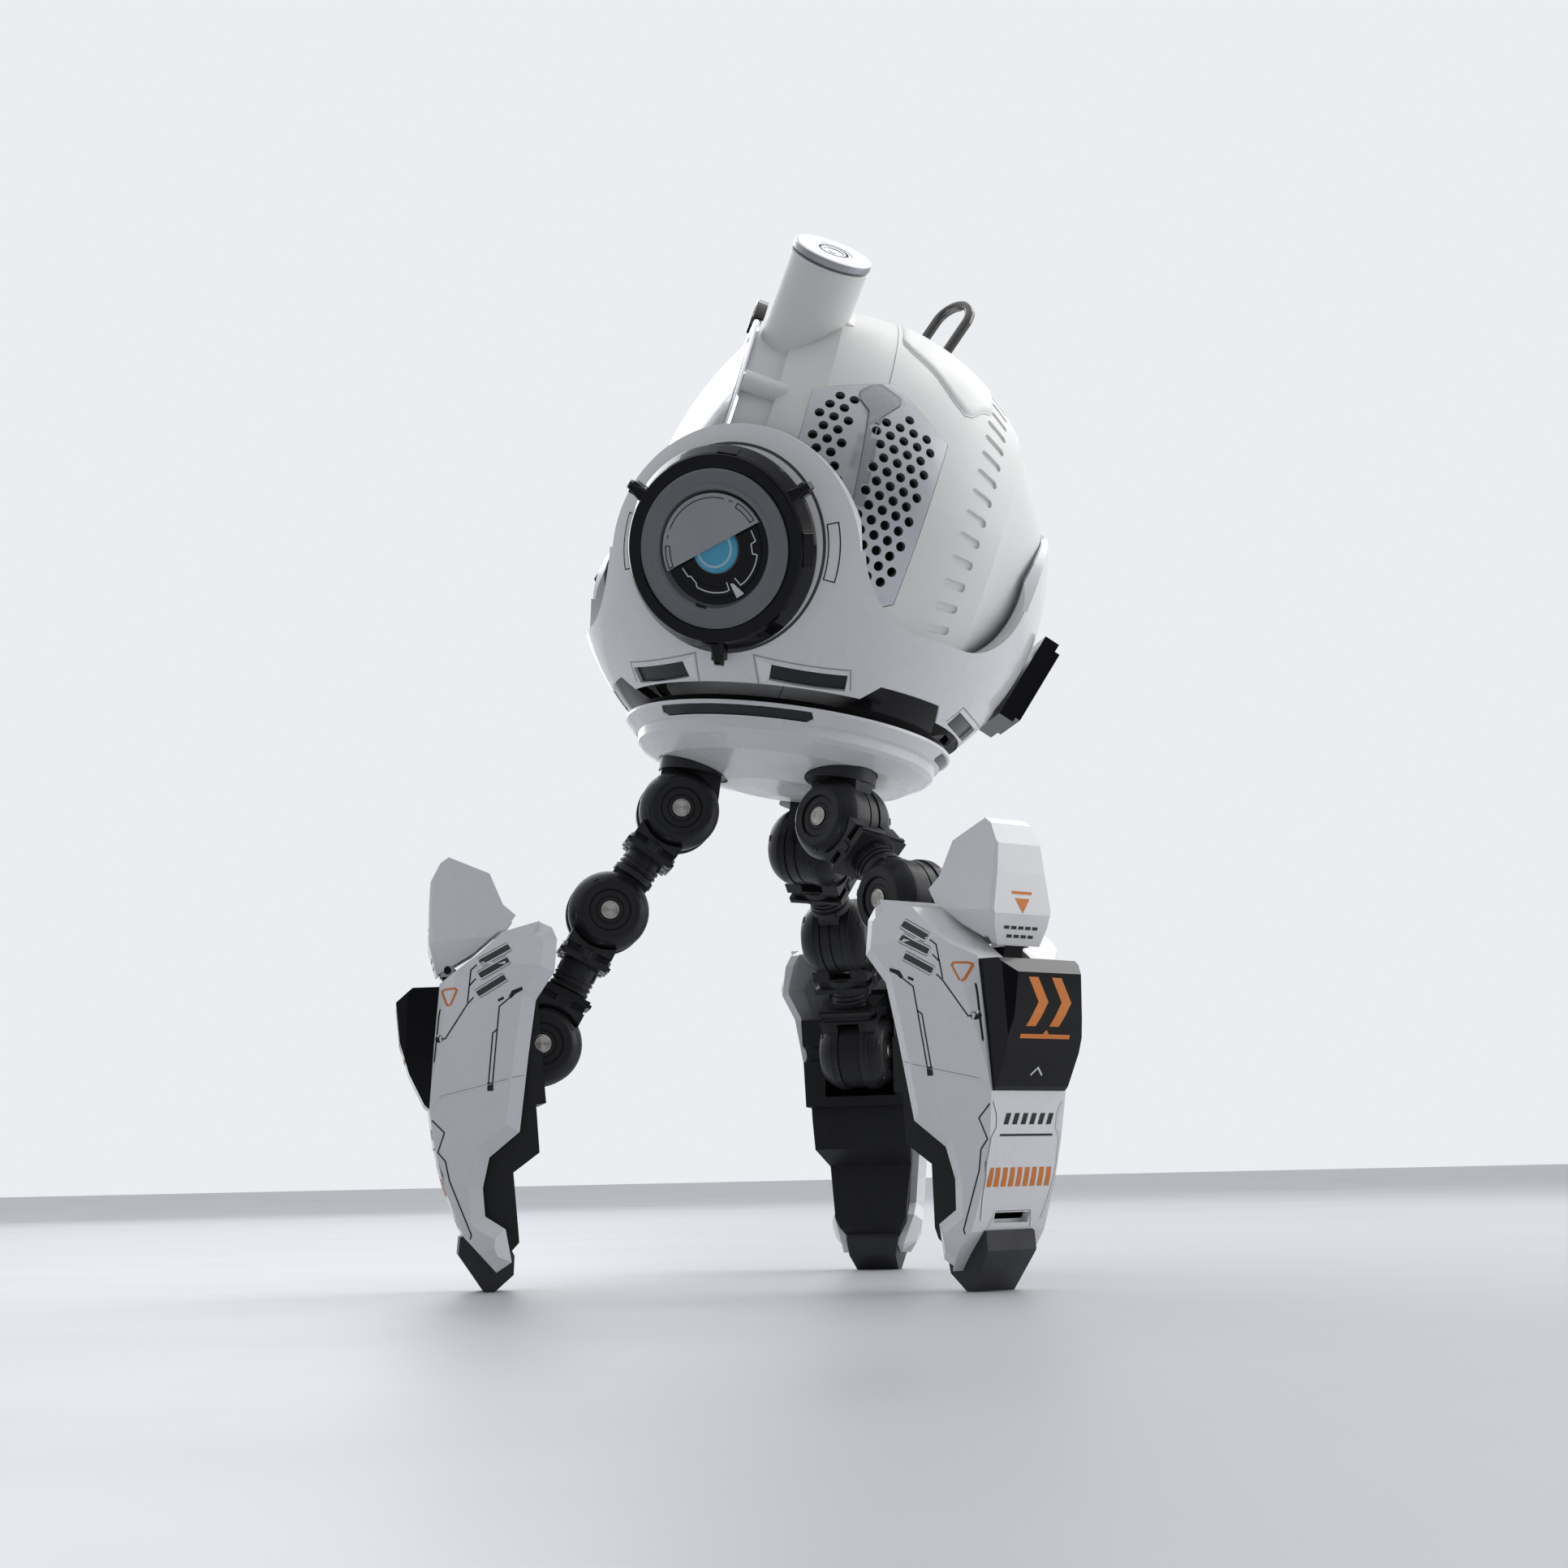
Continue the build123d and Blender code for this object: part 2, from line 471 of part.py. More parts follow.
# bevels where the sides meet the front
FRONT = [((91.6, 77.9), (93.0, 62.0)), ((93.0, 62.0), (94.1, 45.9)), ((94.1, 45.9), (92.7, 36.5)), ((92.7, 36.5), (90.3, 26.6)), ((90.3, 26.6), (86.5, 16.6))]
for (ra, za), (rb, zb) in FRONT:
    nr, nz = (za - zb), (rb - ra)
    L = sqrt(nr * nr + nz * nz)
    nr, nz = nr / L, nz / L
    if nr < 0:
        nr, nz = -nr, -nz
    half = 12.6
    for sg in (-1, 1):
        outer = keep_side(outer, (sg * half, -ra, za), (sg * 0.62, -0.78 * nr, 0.78 * nz))
outer = one(outer)
# broad chamfer along the rear edges of both side walls
CHAM_S, CHAM_D = 3.7, 2.5            # across the side, and in depth


def half_width(r, z):
    """Half width of the block at radius r, height z."""
    f = [(67.0, 72.0, 23.2, -0.32, 0.096), (72.0, 47.0, 19.6, -0.25, 0.13), (66.0, 88.0, 22.6, -0.30, -0.30), (84.0, 8.0, 11.2, -0.10, 0.50)]
    return min(p0 + br * (r - r0) + bz * (z - z0) for r0, z0, p0, br, bz in f)


REAR = S_OUT[S_OUT.index((77.0, 4.9)):] + [S_OUT[0]]


def rear_inset(d):
    """The rear edge line moved into the plate by d, with mitred corners."""
    nrm = []
    for (ra, za), (rb, zb) in zip(REAR, REAR[1:]):
        l = sqrt((rb - ra) ** 2 + (zb - za) ** 2)
        nrm.append(((zb - za) / l, -(rb - ra) / l))
    out = []
    for k, (r, z) in enumerate(REAR):
        n0 = nrm[max(k - 1, 0)]
        n1 = nrm[min(k, len(nrm) - 1)]
        mx, mz = n0[0] + n1[0], n0[1] + n1[1]
        q = d / (1 + n0[0] * n1[0] + n0[1] * n1[1])
        out.append((r + mx * q, z + mz * q))
    return out


INSET = rear_inset(CHAM_S)
for k in range(len(REAR) - 1):
    p0, p1, q1, q0 = REAR[k], REAR[k + 1], INSET[k + 1], INSET[k]
    # push the strip a little past the edge
    e0, e1 = (p0[0] * 1.3 - q0[0] * 0.3, p0[1] * 1.3 - q0[1] * 0.3), (p1[0] * 1.3 - q1[0] * 0.3, p1[1] * 1.3 - q1[1] * 0.3)
    strip = prism(ry([e0, e1, q1, q0]), 30)
    qm = ((q0[0] + q1[0]) / 2, (q0[1] + q1[1]) / 2)
    for sg in (-1, 1):
        A = Vector(sg * (half_width(*p0) - CHAM_D), -p0[0], p0[1])
        B = Vector(sg * (half_width(*p1) - CHAM_D), -p1[0], p1[1])
        C = Vector(sg * half_width(*qm), -qm[0], qm[1])
        n = (B - A).cross(C - A)
        if n.X * sg > 0:
            n = n * -1
        wedge = keep_side(strip, tuple(A), tuple(n))
        outer = outer - wedge
outer = one(outer)
S_IN = [(66.0, 90.9), (75.2, 88.4), (81.0, 83.0), (89.6, 76.6), (91.0, 62.0), (92.0, 46.0), (90.7, 36.8), (88.4, 27.4), (84.8, 18.0), (83.2, 15.6), (78.0, 10.0), (60.0, 6.0), (40.0, 6.0), (40.0, 95.0), (58.0, 95.0)]
inner = width_cut(prism(ry(S_IN), 30), 4.4)                    # thick rim behind the chamfer
S_DEEP = [(72.5, 87.0), (81.0, 83.0), (89.6, 76.6), (91.0, 62.0), (92.0, 46.0), (90.7, 36.8), (88.4, 27.4), (84.9, 19.5), (84.6, 30.0), (80.5, 38.5), (76.5, 44.0), (75.0, 59.0), (73.0, 74.0), (70.0, 82.0)]
inner = inner + width_cut(prism(ry(S_DEEP), 30), 1.9)          # thin walls deeper in
# the top stays closed over the rear edge
armour = outer - inner
# flat seat for the number box, slot above the toe
BOXP = [(91.0, 77.2), (98.4, 77.0), (102.6, 73.4), (101.6, 63.2), (99.2, 55.1), (95.4, 47.4), (94.4, 46.4), (91.0, 46.2)]
front_seat = prism(ry([(89.3, 75.9), (110, 75.9), (110, 47.6), (91.5, 47.6)]), 8.6)
armour = armour - front_seat
slot_cut = prism(ry([(84.0, 18.3), (96.0, 18.3), (96.0, 15.9), (84.0, 15.9)]), 5.6)
armour = armour - slot_cut
armour = one(armour)

box_body = prism(ry(BOXP), 30)
for sg in (-1, 1):
    box_body = keep_side(box_body, (sg * 11.6, -95.0, 46.5), (sg, 0.0, -0.03))
    box_body = keep_side(box_body, (sg * 10.2, -102.6, 73.4), (sg * 0.80, -0.60, 0.0))
box_body = one(box_body)
box_body = box_body - outer
tab = prism(ry([(89.4, 75.6), (95, 75.6), (95, 48.0), (91.6, 48.0)]), 8.3)
tab = tab - inner
number_box = one(box_body + tab) if len((box_body + tab).solids()) else one(box_body)
number_box = one((box_body + tab) - armour)

# toe: rubber foot with a small flat
TOEP = [(86.2, 13.9), (86.6, 9.6), (80.0, 0.0), (77.4, 0.0), (72.6, 4.2), (72.4, 9.0), (76.0, 16.0), (82.0, 16.0)]
toe = prism(ry(TOEP), 7.8)
for sg in (-1, 1):
    toe = keep_side(toe, (sg * 6.4, -79, 0), (sg, 0, -0.16))
toe = toe - armour
toe = one(toe)

# dark inner frame with the ankle tongue
S_FR = [(70.5, 73.0), (66.9, 72.6), (65.0, 49.2), (64.8, 47.2), (67.3, 46.8), (66.4, 34.8), (72.9, 29.9), (72.1, 21.0), (71.3, 12.3), (74.0, 9.2), (80.0, 17.0), (84.0, 19.0), (88.2, 28.0), (90.4, 37.0), (91.6, 46.0), (90.6, 62.0), (89.2, 76.0), (82.0, 81.6), (79.0, 73.0)]
frame = prism(ry(S_FR), 30)
frame = width_cut(frame, 4.6)
AY, AZ = -ANKLE[0], ANKLE[1]
# room for the ankle knuckle and the link above it
room = Pos(0, AY, AZ) * Rot(0, 90, 0) * Cylinder(12.2, 21.4)
room = room + prism(ry([(ANKLE[0] + 11.6, 50), (ANKLE[0] + 19.5, 90), (40, 96), (40, 50)]), 10.7)
frame = frame - room
link = prism([(AY - 14.0, AZ - 3.0), (AY - 14.0, AZ + 3.0), (AY - 4, AZ + 4.5), (AY - 4, AZ - 4.5)], TONGUE_W)
ank_t = Pos(0, AY, AZ) * Rot(0, 90, 0) * Cylinder(TONGUE_R, 2 * TONGUE_W)
arm_t = box(-TONGUE_W, TONGUE_W, AY - 16, AY - 6.0, AZ - 9.0, AZ + 5.0)
frame = frame + ank_t + arm_t
frame = frame - Pos(0, AY, AZ) * Rot(0, 90, 0) * Cylinder(PIN_R + BORE_CLR, 60)
frame = frame - toe - armour - number_box
frame = one(frame)

# fin flap, hinged on the shell's top
FIN = [(89.2, 111.4), (78.7, 107.0), (75.3, 98.7), (72.0, 95.8), (74.6, 92.2), (77.0, 91.4), (82.8, 86.3), (92.3, 80.6), (94.2, 88.0), (94.2, 97.9), (93.9, 104.8), (91.3, 109.9)]
fin = prism(ry(FIN), 20)
for sg in (-1, 1):
    fin = keep_side(fin, (sg * 8.2, -93.5, 100.0), (sg, -0.045, 0.17))       # upper side facet
    fin = keep_side(fin, (sg * 10.1, -94.0, 88.8), (sg, 0.01, -0.395))       # lower side facet
    fin = keep_side(fin, (sg * 7.4, -94.2, 100.0), (sg, -1.0, 0.17))         # bevel along the front
    fin = keep_side(fin, (sg * 9.3, -94.2, 88.8), (sg, -1.0, -0.395))
fin = one(fin)
FIN_IN = [(88.0, 109.2), (80.0, 105.6), (76.9, 98.0), (60.0, 97.0), (60.0, 84.0), (84.0, 83.6), (90.6, 83.2), (92.0, 88.5), (92.2, 97.9), (91.8, 104.2), (89.8, 108.4)]
fin_in = prism(ry(FIN_IN), 20)
for sg in (-1, 1):
    fin_in = keep_side(fin_in, (sg * (8.2 - 1.75), -93.5, 100.0), (sg, -0.045, 0.17))
    fin_in = keep_side(fin_in, (sg * (10.1 - 1.85), -94.0, 88.8), (sg, 0.01, -0.395))
    fin_in = keep_side(fin_in, (sg * 5.0, -92.2, 100.0), (sg, -1.0, 0.17))
    fin_in = keep_side(fin_in, (sg * 6.6, -92.2, 88.8), (sg, -1.0, -0.395))
fin = one(fin - fin_in)
# hinge ear inside the shell top, on the dark frame
HX = (89.4, 82.0)                    # fin hinge axis (radius, height)
ear = prism(ry([(84.0, 78.0), (88.9, 75.0), (91.2, 81.4), (90.4, 83.6), (88.4, 83.6), (86.6, 81.6)]), 3.0)
slot = prism(ry([(82.5, 96.0), (92.6, 96.0), (92.6, 77.0), (82.5, 77.0)]), 4.6)
armour = one(armour - slot)
fin = fin - prism(ry([(84.0, 78), (91.5, 78), (91.5, 86.0), (84.0, 86.0)]), 3.3)
lug = None
for sg in (-1, 1):
    b = box(min(sg * 3.4, sg * 4.4), max(sg * 3.4, sg * 4.4), -91.2, -87.6, 80.4, 91.5)
    lug = b if lug is None else lug + b
fin = fin + lug + prism(ry([(87.6, 91.5), (93.0, 91.5), (93.0, 89.7), (87.6, 89.7)]), 4.4)
fin = fin - Pos(0, -HX[0], HX[1]) * Rot(0, 90, 0) * Cylinder(1.0, 60)
fin = one(fin)
frame = frame + ear
frame = frame + Pos(0, -HX[0], HX[1]) * Rot(0, 90, 0) * Cylinder(0.94, 8.8)
frame = one(frame)
frame = one(frame - armour)


def leg_axes(i):
    """Pin centres and axes of leg i, in the world frame."""
    ca, t = radians(CUT_AZ[i]), radians(TILT)

    def w(v):
        x, y, z = v
        return Vector(x, y * cos(t) + z * sin(t), -y * sin(t) + z * cos(t))
    up = w((0, 0, 1))
    per_c = w((cos(ca), sin(ca), 0))
    rad_c = w((sin(ca), -cos(ca), 0))
    sw = rad_c * SWIVEL_R + up * HIP_H + Vector(0, CY, CZ)      # swivel axis at pin height
    a = radians(LEG_AZ[i])
    rad, per, z = Vector(sin(a), -cos(a), 0), Vector(cos(a), sin(a), 0), Vector(0, 0, 1)
    ar, az = ANKLE[0] + TOE_SHIFT[i], ANKLE[1]
    l2 = L2 + PULL[i]
    psi = 0.0
    for _ in range(30):
        r1 = rad_c * cos(psi) - per_c * sin(psi)
        hip = sw + r1 * (HIP_R - SWIVEL_R)
        hr, hp, hz = hip.dot(rad), hip.dot(per), hip.Z
        dr, dz = ar - hr, hz - az
        D = sqrt(dr * dr + dz * dz)
        bend = acos(min(1.0, (L1 * L1 + D * D - l2 * l2) / (2 * L1 * D)))
        th1 = atan2(dr, dz) + bend
        d1 = rad * sin(th1) - z * cos(th1)
        psi = atan2(-per_c.dot(d1), rad_c.dot(d1))      # hip pin square to the first link
    knee = hip + d1 * L1
    ank = rad * ar + per * hp + z * az
    d2 = (ank - knee).normalized()
    a1 = (per_c * cos(psi) + rad_c * sin(psi)).normalized()
    return dict(hip=hip, sw=sw, knee=knee, ank=ank, d1=d1, d2=d2, a1=a1, per=per, rad=rad, up=up, hp=hp,
                th1=degrees(th1), th2=degrees(atan2(d2.dot(rad), -d2.Z)), psi=degrees(psi), D=D, l2=l2)


def at(origin, x, z):
    return Plane(origin=origin, x_dir=x, z_dir=z).location


for i in range(3):
    g = leg_axes(i)
    n = i + 1
    print("leg", n, "th1 %.2f th2 %.2f psi %.2f D %.2f reach %.2f gap %.4f" % (g["th1"], g["th2"], g["psi"], g["D"], L1 + g["l2"], (g["ank"] - g["knee"]).length - g["l2"]))
    hx = g["rad"] * (HX[0] + TOE_SHIFT[i]) + g["per"] * g["hp"] + Vector(0, 0, HX[1])
    for k, v in (("hip", g["hip"]), ("sw", g["sw"]), ("knee", g["knee"]), ("ank", g["ank"]), ("fin", hx), ("a1", g["a1"]), ("per", g["per"]), ("up", g["up"]), ("d1", g["d1"]), ("d2", g["d2"]), ("rad", g["rad"])):
        print("  LEG%d" % n, k, round(v.X, 5), round(v.Y, 5), round(v.Z, 5))
    hip, kn, an = g["hip"], g["knee"], g["ank"]
    add("leg%d_hip_yoke" % n, at(hip, g["a1"], g["up"]) * YOKE)
    add("leg%d_hip_pin" % n, at(hip, g["a1"], -g["d1"]) * PIN)
    add("leg%d_upper_fork" % n, at(hip, g["a1"], -g["d1"]) * FORK)
    add("leg%d_upper_neck" % n, at(hip, g["per"], -g["d1"]) * UNECK)
    add("leg%d_knee_pin" % n, at(kn, g["per"], -g["d2"]) * PIN)
    add("leg%d_lower_fork" % n, at(kn, g["per"], -g["d2"]) * FORK)
    add("leg%d_lower_neck" % n, at(kn + g["d2"] * PULL[i], g["per"], -g["d2"]) * LNECK)
    add("leg%d_ankle_pin" % n, at(an, g["per"], -g["d2"]) * PIN)
    sh = g["rad"] * TOE_SHIFT[i] + g["per"] * g["hp"]
    L = Pos(sh.X, sh.Y, 0) * Rot(0, 0, LEG_AZ[i])
    for nm, s in (("shank_frame", frame), ("armour_shell", armour), ("number_box", number_box), ("toe", toe), ("top_fin", fin)):
        add("leg%d_%s" % (n, nm), L * s)

bb = None
for name, s in OUT.items():
    b = s.bounding_box()
    if bb is None:
        bb = [b.min.X, b.max.X, b.min.Y, b.max.Y, b.min.Z, b.max.Z]
    else:
        bb = [min(bb[0], b.min.X), max(bb[1], b.max.X), min(bb[2], b.min.Y), max(bb[3], b.max.Y), min(bb[4], b.min.Z), max(bb[5], b.max.Z)]
    s.label = name
    export_step(s, "parts/%s.step" % name)
    print(name, len(s.solids()), round(s.volume, 1))
print("bbox", [round(v, 4) for v in bb], "shift needed", round(-(bb[0] + bb[1]) / 2, 4), round(-(bb[2] + bb[3]) / 2, 4))
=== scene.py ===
import bpy, bmesh, math, json
from math import sin, cos, radians, sqrt, atan2, pi
from mathutils import Vector, Matrix
from mathutils.bvhtree import BVHTree

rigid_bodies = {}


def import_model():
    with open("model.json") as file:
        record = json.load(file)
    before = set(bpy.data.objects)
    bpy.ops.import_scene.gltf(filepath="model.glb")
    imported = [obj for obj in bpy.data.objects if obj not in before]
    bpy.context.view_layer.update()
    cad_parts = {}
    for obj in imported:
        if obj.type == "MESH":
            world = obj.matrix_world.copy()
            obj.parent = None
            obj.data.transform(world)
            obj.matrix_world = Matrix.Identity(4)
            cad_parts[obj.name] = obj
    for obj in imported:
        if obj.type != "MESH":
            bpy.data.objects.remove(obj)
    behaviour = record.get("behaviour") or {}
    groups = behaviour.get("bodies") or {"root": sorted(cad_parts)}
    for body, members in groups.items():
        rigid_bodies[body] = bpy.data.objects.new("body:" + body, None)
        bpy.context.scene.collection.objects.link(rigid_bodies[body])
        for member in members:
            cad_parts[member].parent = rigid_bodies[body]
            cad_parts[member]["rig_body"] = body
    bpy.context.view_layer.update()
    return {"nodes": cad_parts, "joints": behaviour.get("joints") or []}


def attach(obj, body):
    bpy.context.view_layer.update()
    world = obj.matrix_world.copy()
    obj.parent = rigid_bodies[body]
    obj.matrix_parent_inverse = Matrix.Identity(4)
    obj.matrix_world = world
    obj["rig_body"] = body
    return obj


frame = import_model()
N = frame["nodes"]
MM = 0.001

# ------------------------------------------------------------------ frames (mm)
SX, SY = -0.1833, 11.7905
C = Vector((SX, 12.15 + SY, 201.0))
TILT, ELEV = radians(8.7), radians(18.8)
R_POD = 62.2


def frm(o, x, y, z):
    m = Matrix.Identity(4)
    for k, v in enumerate((x, y, z, o)):
        for r in range(3):
            m[r][k] = v[r]
    return m


POD = frm(C, Vector((1, 0, 0)), Vector((0, sin(ELEV), cos(ELEV))), Vector((0, -cos(ELEV), sin(ELEV))))
HEAD = frm(C, Vector((1, 0, 0)), Vector((0, cos(TILT), -sin(TILT))), Vector((0, sin(TILT), cos(TILT))))


def eye(az):
    a, e = radians(az), radians(-20)
    n = Vector((sin(a) * cos(e), -cos(a) * cos(e), sin(e)))
    u = Vector((cos(a), sin(a), 0))
    w = n.cross(u)
    return HEAD @ frm(Vector((0, 0, 0)), u, w, n)


LEG_AZ = (0.0, 118.6, 240.0)
TOE_SHIFT = (-1.2, -1.0, -0.6)
joints = {j["name"]: j for j in frame["joints"]}


def jpos(name):
    return Vector(joints[name]["pos_m"]) * 1000.0


LEG = []
for i in range(3):
    a = radians(LEG_AZ[i])
    rad, per = Vector((sin(a), -cos(a), 0)), Vector((cos(a), sin(a), 0))
    ank = jpos("leg%d_ankle_hinge" % (i + 1))
    o = ank - rad * 65.3
    o.z = 0.0
    LEG.append(frm(o, per, rad, Vector((0, 0, 1))))      # local x = across, y = radius, z = up


def at(origin, x, z):
    x, z = x.normalized(), z.normalized()
    return frm(origin, x, z.cross(x), z)


# ------------------------------------------------------------------ materials
def mat(name, col, rough=0.4, metal=0.0, coat=0.0, coat_rough=0.05, var=0.04, vscale=45.0, rvar=0.06, rscale=120.0,
        bump=0.0, bscale=2500.0, edge_highlight=0.0, edge_highlight_col=None, stretch=None, spec=0.5, trans=0.0, ior=1.45, emit=None):
    m = bpy.data.materials.new(name)
    m.use_nodes = True
    nt = m.node_tree
    for n in list(nt.nodes):
        nt.nodes.remove(n)
    out = nt.nodes.new("ShaderNodeOutputMaterial")
    b = nt.nodes.new("ShaderNodeBsdfPrincipled")
    nt.links.new(b.outputs[0], out.inputs[0])
    b.inputs["Metallic"].default_value = metal
    b.inputs["Coat Weight"].default_value = coat
    b.inputs["Coat Roughness"].default_value = coat_rough
    b.inputs["Specular IOR Level"].default_value = spec
    b.inputs["IOR"].default_value = ior
    b.inputs["Transmission Weight"].default_value = trans
    if emit:
        b.inputs["Emission Color"].default_value = (*emit[0], 1)
        b.inputs["Emission Strength"].default_value = emit[1]
    tc = nt.nodes.new("ShaderNodeTexCoord")
    mp = nt.nodes.new("ShaderNodeMapping")
    nt.links.new(tc.outputs["Object"], mp.inputs[0])
    if stretch:
        mp.inputs["Scale"].default_value = stretch
    # colour
    n1 = nt.nodes.new("ShaderNodeTexNoise")
    n1.inputs["Scale"].default_value = vscale
    n1.inputs["Detail"].default_value = 4.0
    nt.links.new(mp.outputs[0], n1.inputs["Vector"])
    r1 = nt.nodes.new("ShaderNodeValToRGB")
    r1.color_ramp.elements[0].position = 0.35
    r1.color_ramp.elements[1].position = 0.65
    r1.color_ramp.elements[0].color = (*[max(0.0, c * (1 - var)) for c in col], 1)
    r1.color_ramp.elements[1].color = (*[min(1.0, c * (1 + var)) for c in col], 1)
    nt.links.new(n1.outputs["Fac"], r1.inputs[0])
    colour = r1.outputs[0]
    # painted edge highlight: sharp convex edges (by pointiness) are mixed toward a lighter colour, standing in for
    # light caught on the edges
    if edge_highlight > 0:
        g = nt.nodes.new("ShaderNodeNewGeometry")
        r = nt.nodes.new("ShaderNodeValToRGB")
        r.color_ramp.elements[0].position = 0.505
        r.color_ramp.elements[1].position = 0.56
        r.color_ramp.elements[0].color = (0, 0, 0, 1)
        r.color_ramp.elements[1].color = (edge_highlight, edge_highlight, edge_highlight, 1)
        nt.links.new(g.outputs["Pointiness"], r.inputs[0])
        mx = nt.nodes.new("ShaderNodeMix")
        mx.data_type = "RGBA"
        nt.links.new(r.outputs[0], mx.inputs[0])
        nt.links.new(colour, mx.inputs[6])
        mx.inputs[7].default_value = (*(edge_highlight_col or col), 1)
        colour = mx.outputs[2]
    nt.links.new(colour, b.inputs["Base Color"])
    # roughness
    n2 = nt.nodes.new("ShaderNodeTexNoise")
    n2.inputs["Scale"].default_value = rscale
    n2.inputs["Detail"].default_value = 6.0
    nt.links.new(mp.outputs[0], n2.inputs["Vector"])
    mr = nt.nodes.new("ShaderNodeMapRange")
    mr.inputs["From Min"].default_value = 0.3
    mr.inputs["From Max"].default_value = 0.7
    mr.inputs["To Min"].default_value = max(0.02, rough - rvar)
    mr.inputs["To Max"].default_value = min(1.0, rough + rvar)
    nt.links.new(n2.outputs["Fac"], mr.inputs[0])
    nt.links.new(mr.outputs[0], b.inputs["Roughness"])
    if bump > 0:
        n3 = nt.nodes.new("ShaderNodeTexNoise")
        n3.inputs["Scale"].default_value = bscale
        n3.inputs["Detail"].default_value = 2.0
        nt.links.new(mp.outputs[0], n3.inputs["Vector"])
        bp = nt.nodes.new("ShaderNodeBump")
        bp.inputs["Strength"].default_value = bump
        bp.inputs["Distance"].default_value = 0.0002
        nt.links.new(n3.outputs["Fac"], bp.inputs["Height"])
        nt.links.new(bp.outputs[0], b.inputs["Normal"])
    return m


M = {
    "white_gloss": mat("white_gloss_plastic", (0.79, 0.79, 0.80), 0.26, coat=0.35, coat_rough=0.08, var=0.015, rvar=0.05, bump=0.03, bscale=1800),
    "white_satin": mat("white_satin_plastic", (0.80, 0.795, 0.78), 0.42, var=0.015, rvar=0.05, bump=0.06, bscale=4200),
    "armour_white": mat("armour_white_paint", (0.80, 0.80, 0.815), 0.30, coat=0.25, coat_rough=0.12, var=0.02, rvar=0.06, bump=0.04, bscale=2600, edge_highlight=0.25, edge_highlight_col=(0.90, 0.90, 0.91)),
    "black_gloss": mat("black_gloss_plastic", (0.004, 0.004, 0.005), 0.12, coat=0.08, coat_rough=0.04, spec=0.22, var=0.2, rvar=0.03),
    "black_plastic": mat("black_arm_plastic", (0.009, 0.009, 0.010), 0.36, spec=0.38, var=0.25, vscale=90, rvar=0.10, bump=0.10, bscale=3200, edge_highlight=0.7, edge_highlight_col=(0.034, 0.034, 0.037)),
    "frame_black": mat("frame_black_plastic", (0.007, 0.007, 0.008), 0.45, spec=0.35, var=0.2, rvar=0.08, bump=0.10, bscale=2600, edge_highlight=0.5, edge_highlight_col=(0.026, 0.026, 0.029)),
    "dark_pocket": mat("dark_pocket_plastic", (0.015, 0.016, 0.018), 0.25, var=0.2),
    "silver_grille": mat("silver_grille_paint", (0.40, 0.41, 0.43), 0.33, metal=0.75, var=0.03, vscale=900, rvar=0.05, bump=0.12, bscale=5200, edge_highlight=0.5, edge_highlight_col=(0.80, 0.81, 0.83)),
    "grey_satin": mat("grey_satin_paint", (0.33, 0.335, 0.35), 0.36, metal=0.15, coat=0.12, var=0.04, rvar=0.05, bump=0.05, bscale=4000),
    "ring_grey": mat("ring_grey_paint", (0.165, 0.17, 0.18), 0.36, metal=0.15, coat=0.12, var=0.04, rvar=0.05, bump=0.05, bscale=4000),
    "black_chrome": mat("black_chrome", (0.16, 0.155, 0.15), 0.10, metal=1.0, var=0.08, rvar=0.03),
    "rim_chrome": mat("rim_chrome", (0.80, 0.81, 0.84), 0.07, metal=1.0, var=0.02, rvar=0.02),
    "clear_dome": mat("clear_dome_plastic", (0.97, 0.98, 1.0), 0.03, trans=1.0, ior=1.45, var=0.004, rvar=0.01),
    "cap_aluminium": mat("brushed_cap", (0.40, 0.41, 0.43), 0.33, metal=1.0, var=0.05, vscale=120, rvar=0.08, bump=0.10, bscale=700, stretch=(1, 14, 14)),
    "pin_steel": mat("turned_pin_steel", (0.56, 0.53, 0.49), 0.26, metal=1.0, var=0.10, vscale=420, rvar=0.08),
    "toe_rubber": mat("toe_rubber", (0.011, 0.011, 0.013), 0.5, spec=0.38, var=0.2, vscale=160, rvar=0.10, bump=0.20, bscale=2200, edge_highlight=0.6, edge_highlight_col=(0.06, 0.06, 0.065)),
    "speaker": mat("speaker_paper", (0.02, 0.02, 0.02), 0.7, bump=0.2, bscale=1600),
    "board": mat("circuit_laminate", (0.01, 0.10, 0.05), 0.4, bump=0.1),
    "cell": mat("battery_wrap", (0.03, 0.05, 0.09), 0.4, bump=0.05),
    "blue": mat("blue_core_plastic", (0.05, 0.36, 0.56), 0.22, coat=0.4, var=0.05, rvar=0.04),
    "blue_light": mat("blue_core_arc", (0.32, 0.55, 0.66), 0.3, var=0.03),
    "ink": mat("black_print", (0.012, 0.012, 0.014), 0.42, var=0.1),
    "orange": mat("orange_print", (0.72, 0.215, 0.035), 0.42, var=0.05),
    "silver_ink": mat("silver_print", (0.62, 0.64, 0.66), 0.30, metal=0.6, var=0.03),
    # dark blue-grey painted shade and sky reflection meant for the cradle's inner edge; no object uses it
    "edge_grey": mat("painted_shade_edge_grey", (0.13, 0.16, 0.20), 0.10, coat=0.5, var=0.05, rvar=0.03),
    # painted highlight on lit rims, ribs, seams and bevels; also the small pale triangle in the leg's dot mark
    "white_line": mat("pale_highlight_and_mark_paint", (0.88, 0.88, 0.89), 0.35, var=0.01),
    "shade_line": mat("shadow_groove_paint", (0.33, 0.335, 0.35), 0.45, var=0.03),
    # near-black painted shade in slots, recesses and grooves; also used for the dark tops of the knuckle cheek pads
    "deep_line": mat("deep_groove_shade_paint", (0.055, 0.055, 0.06), 0.5, var=0.03),
    "clear_end": mat("clear_end_plastic", (0.75, 0.78, 0.80), 0.08, trans=0.75, ior=1.4, var=0.02),
}
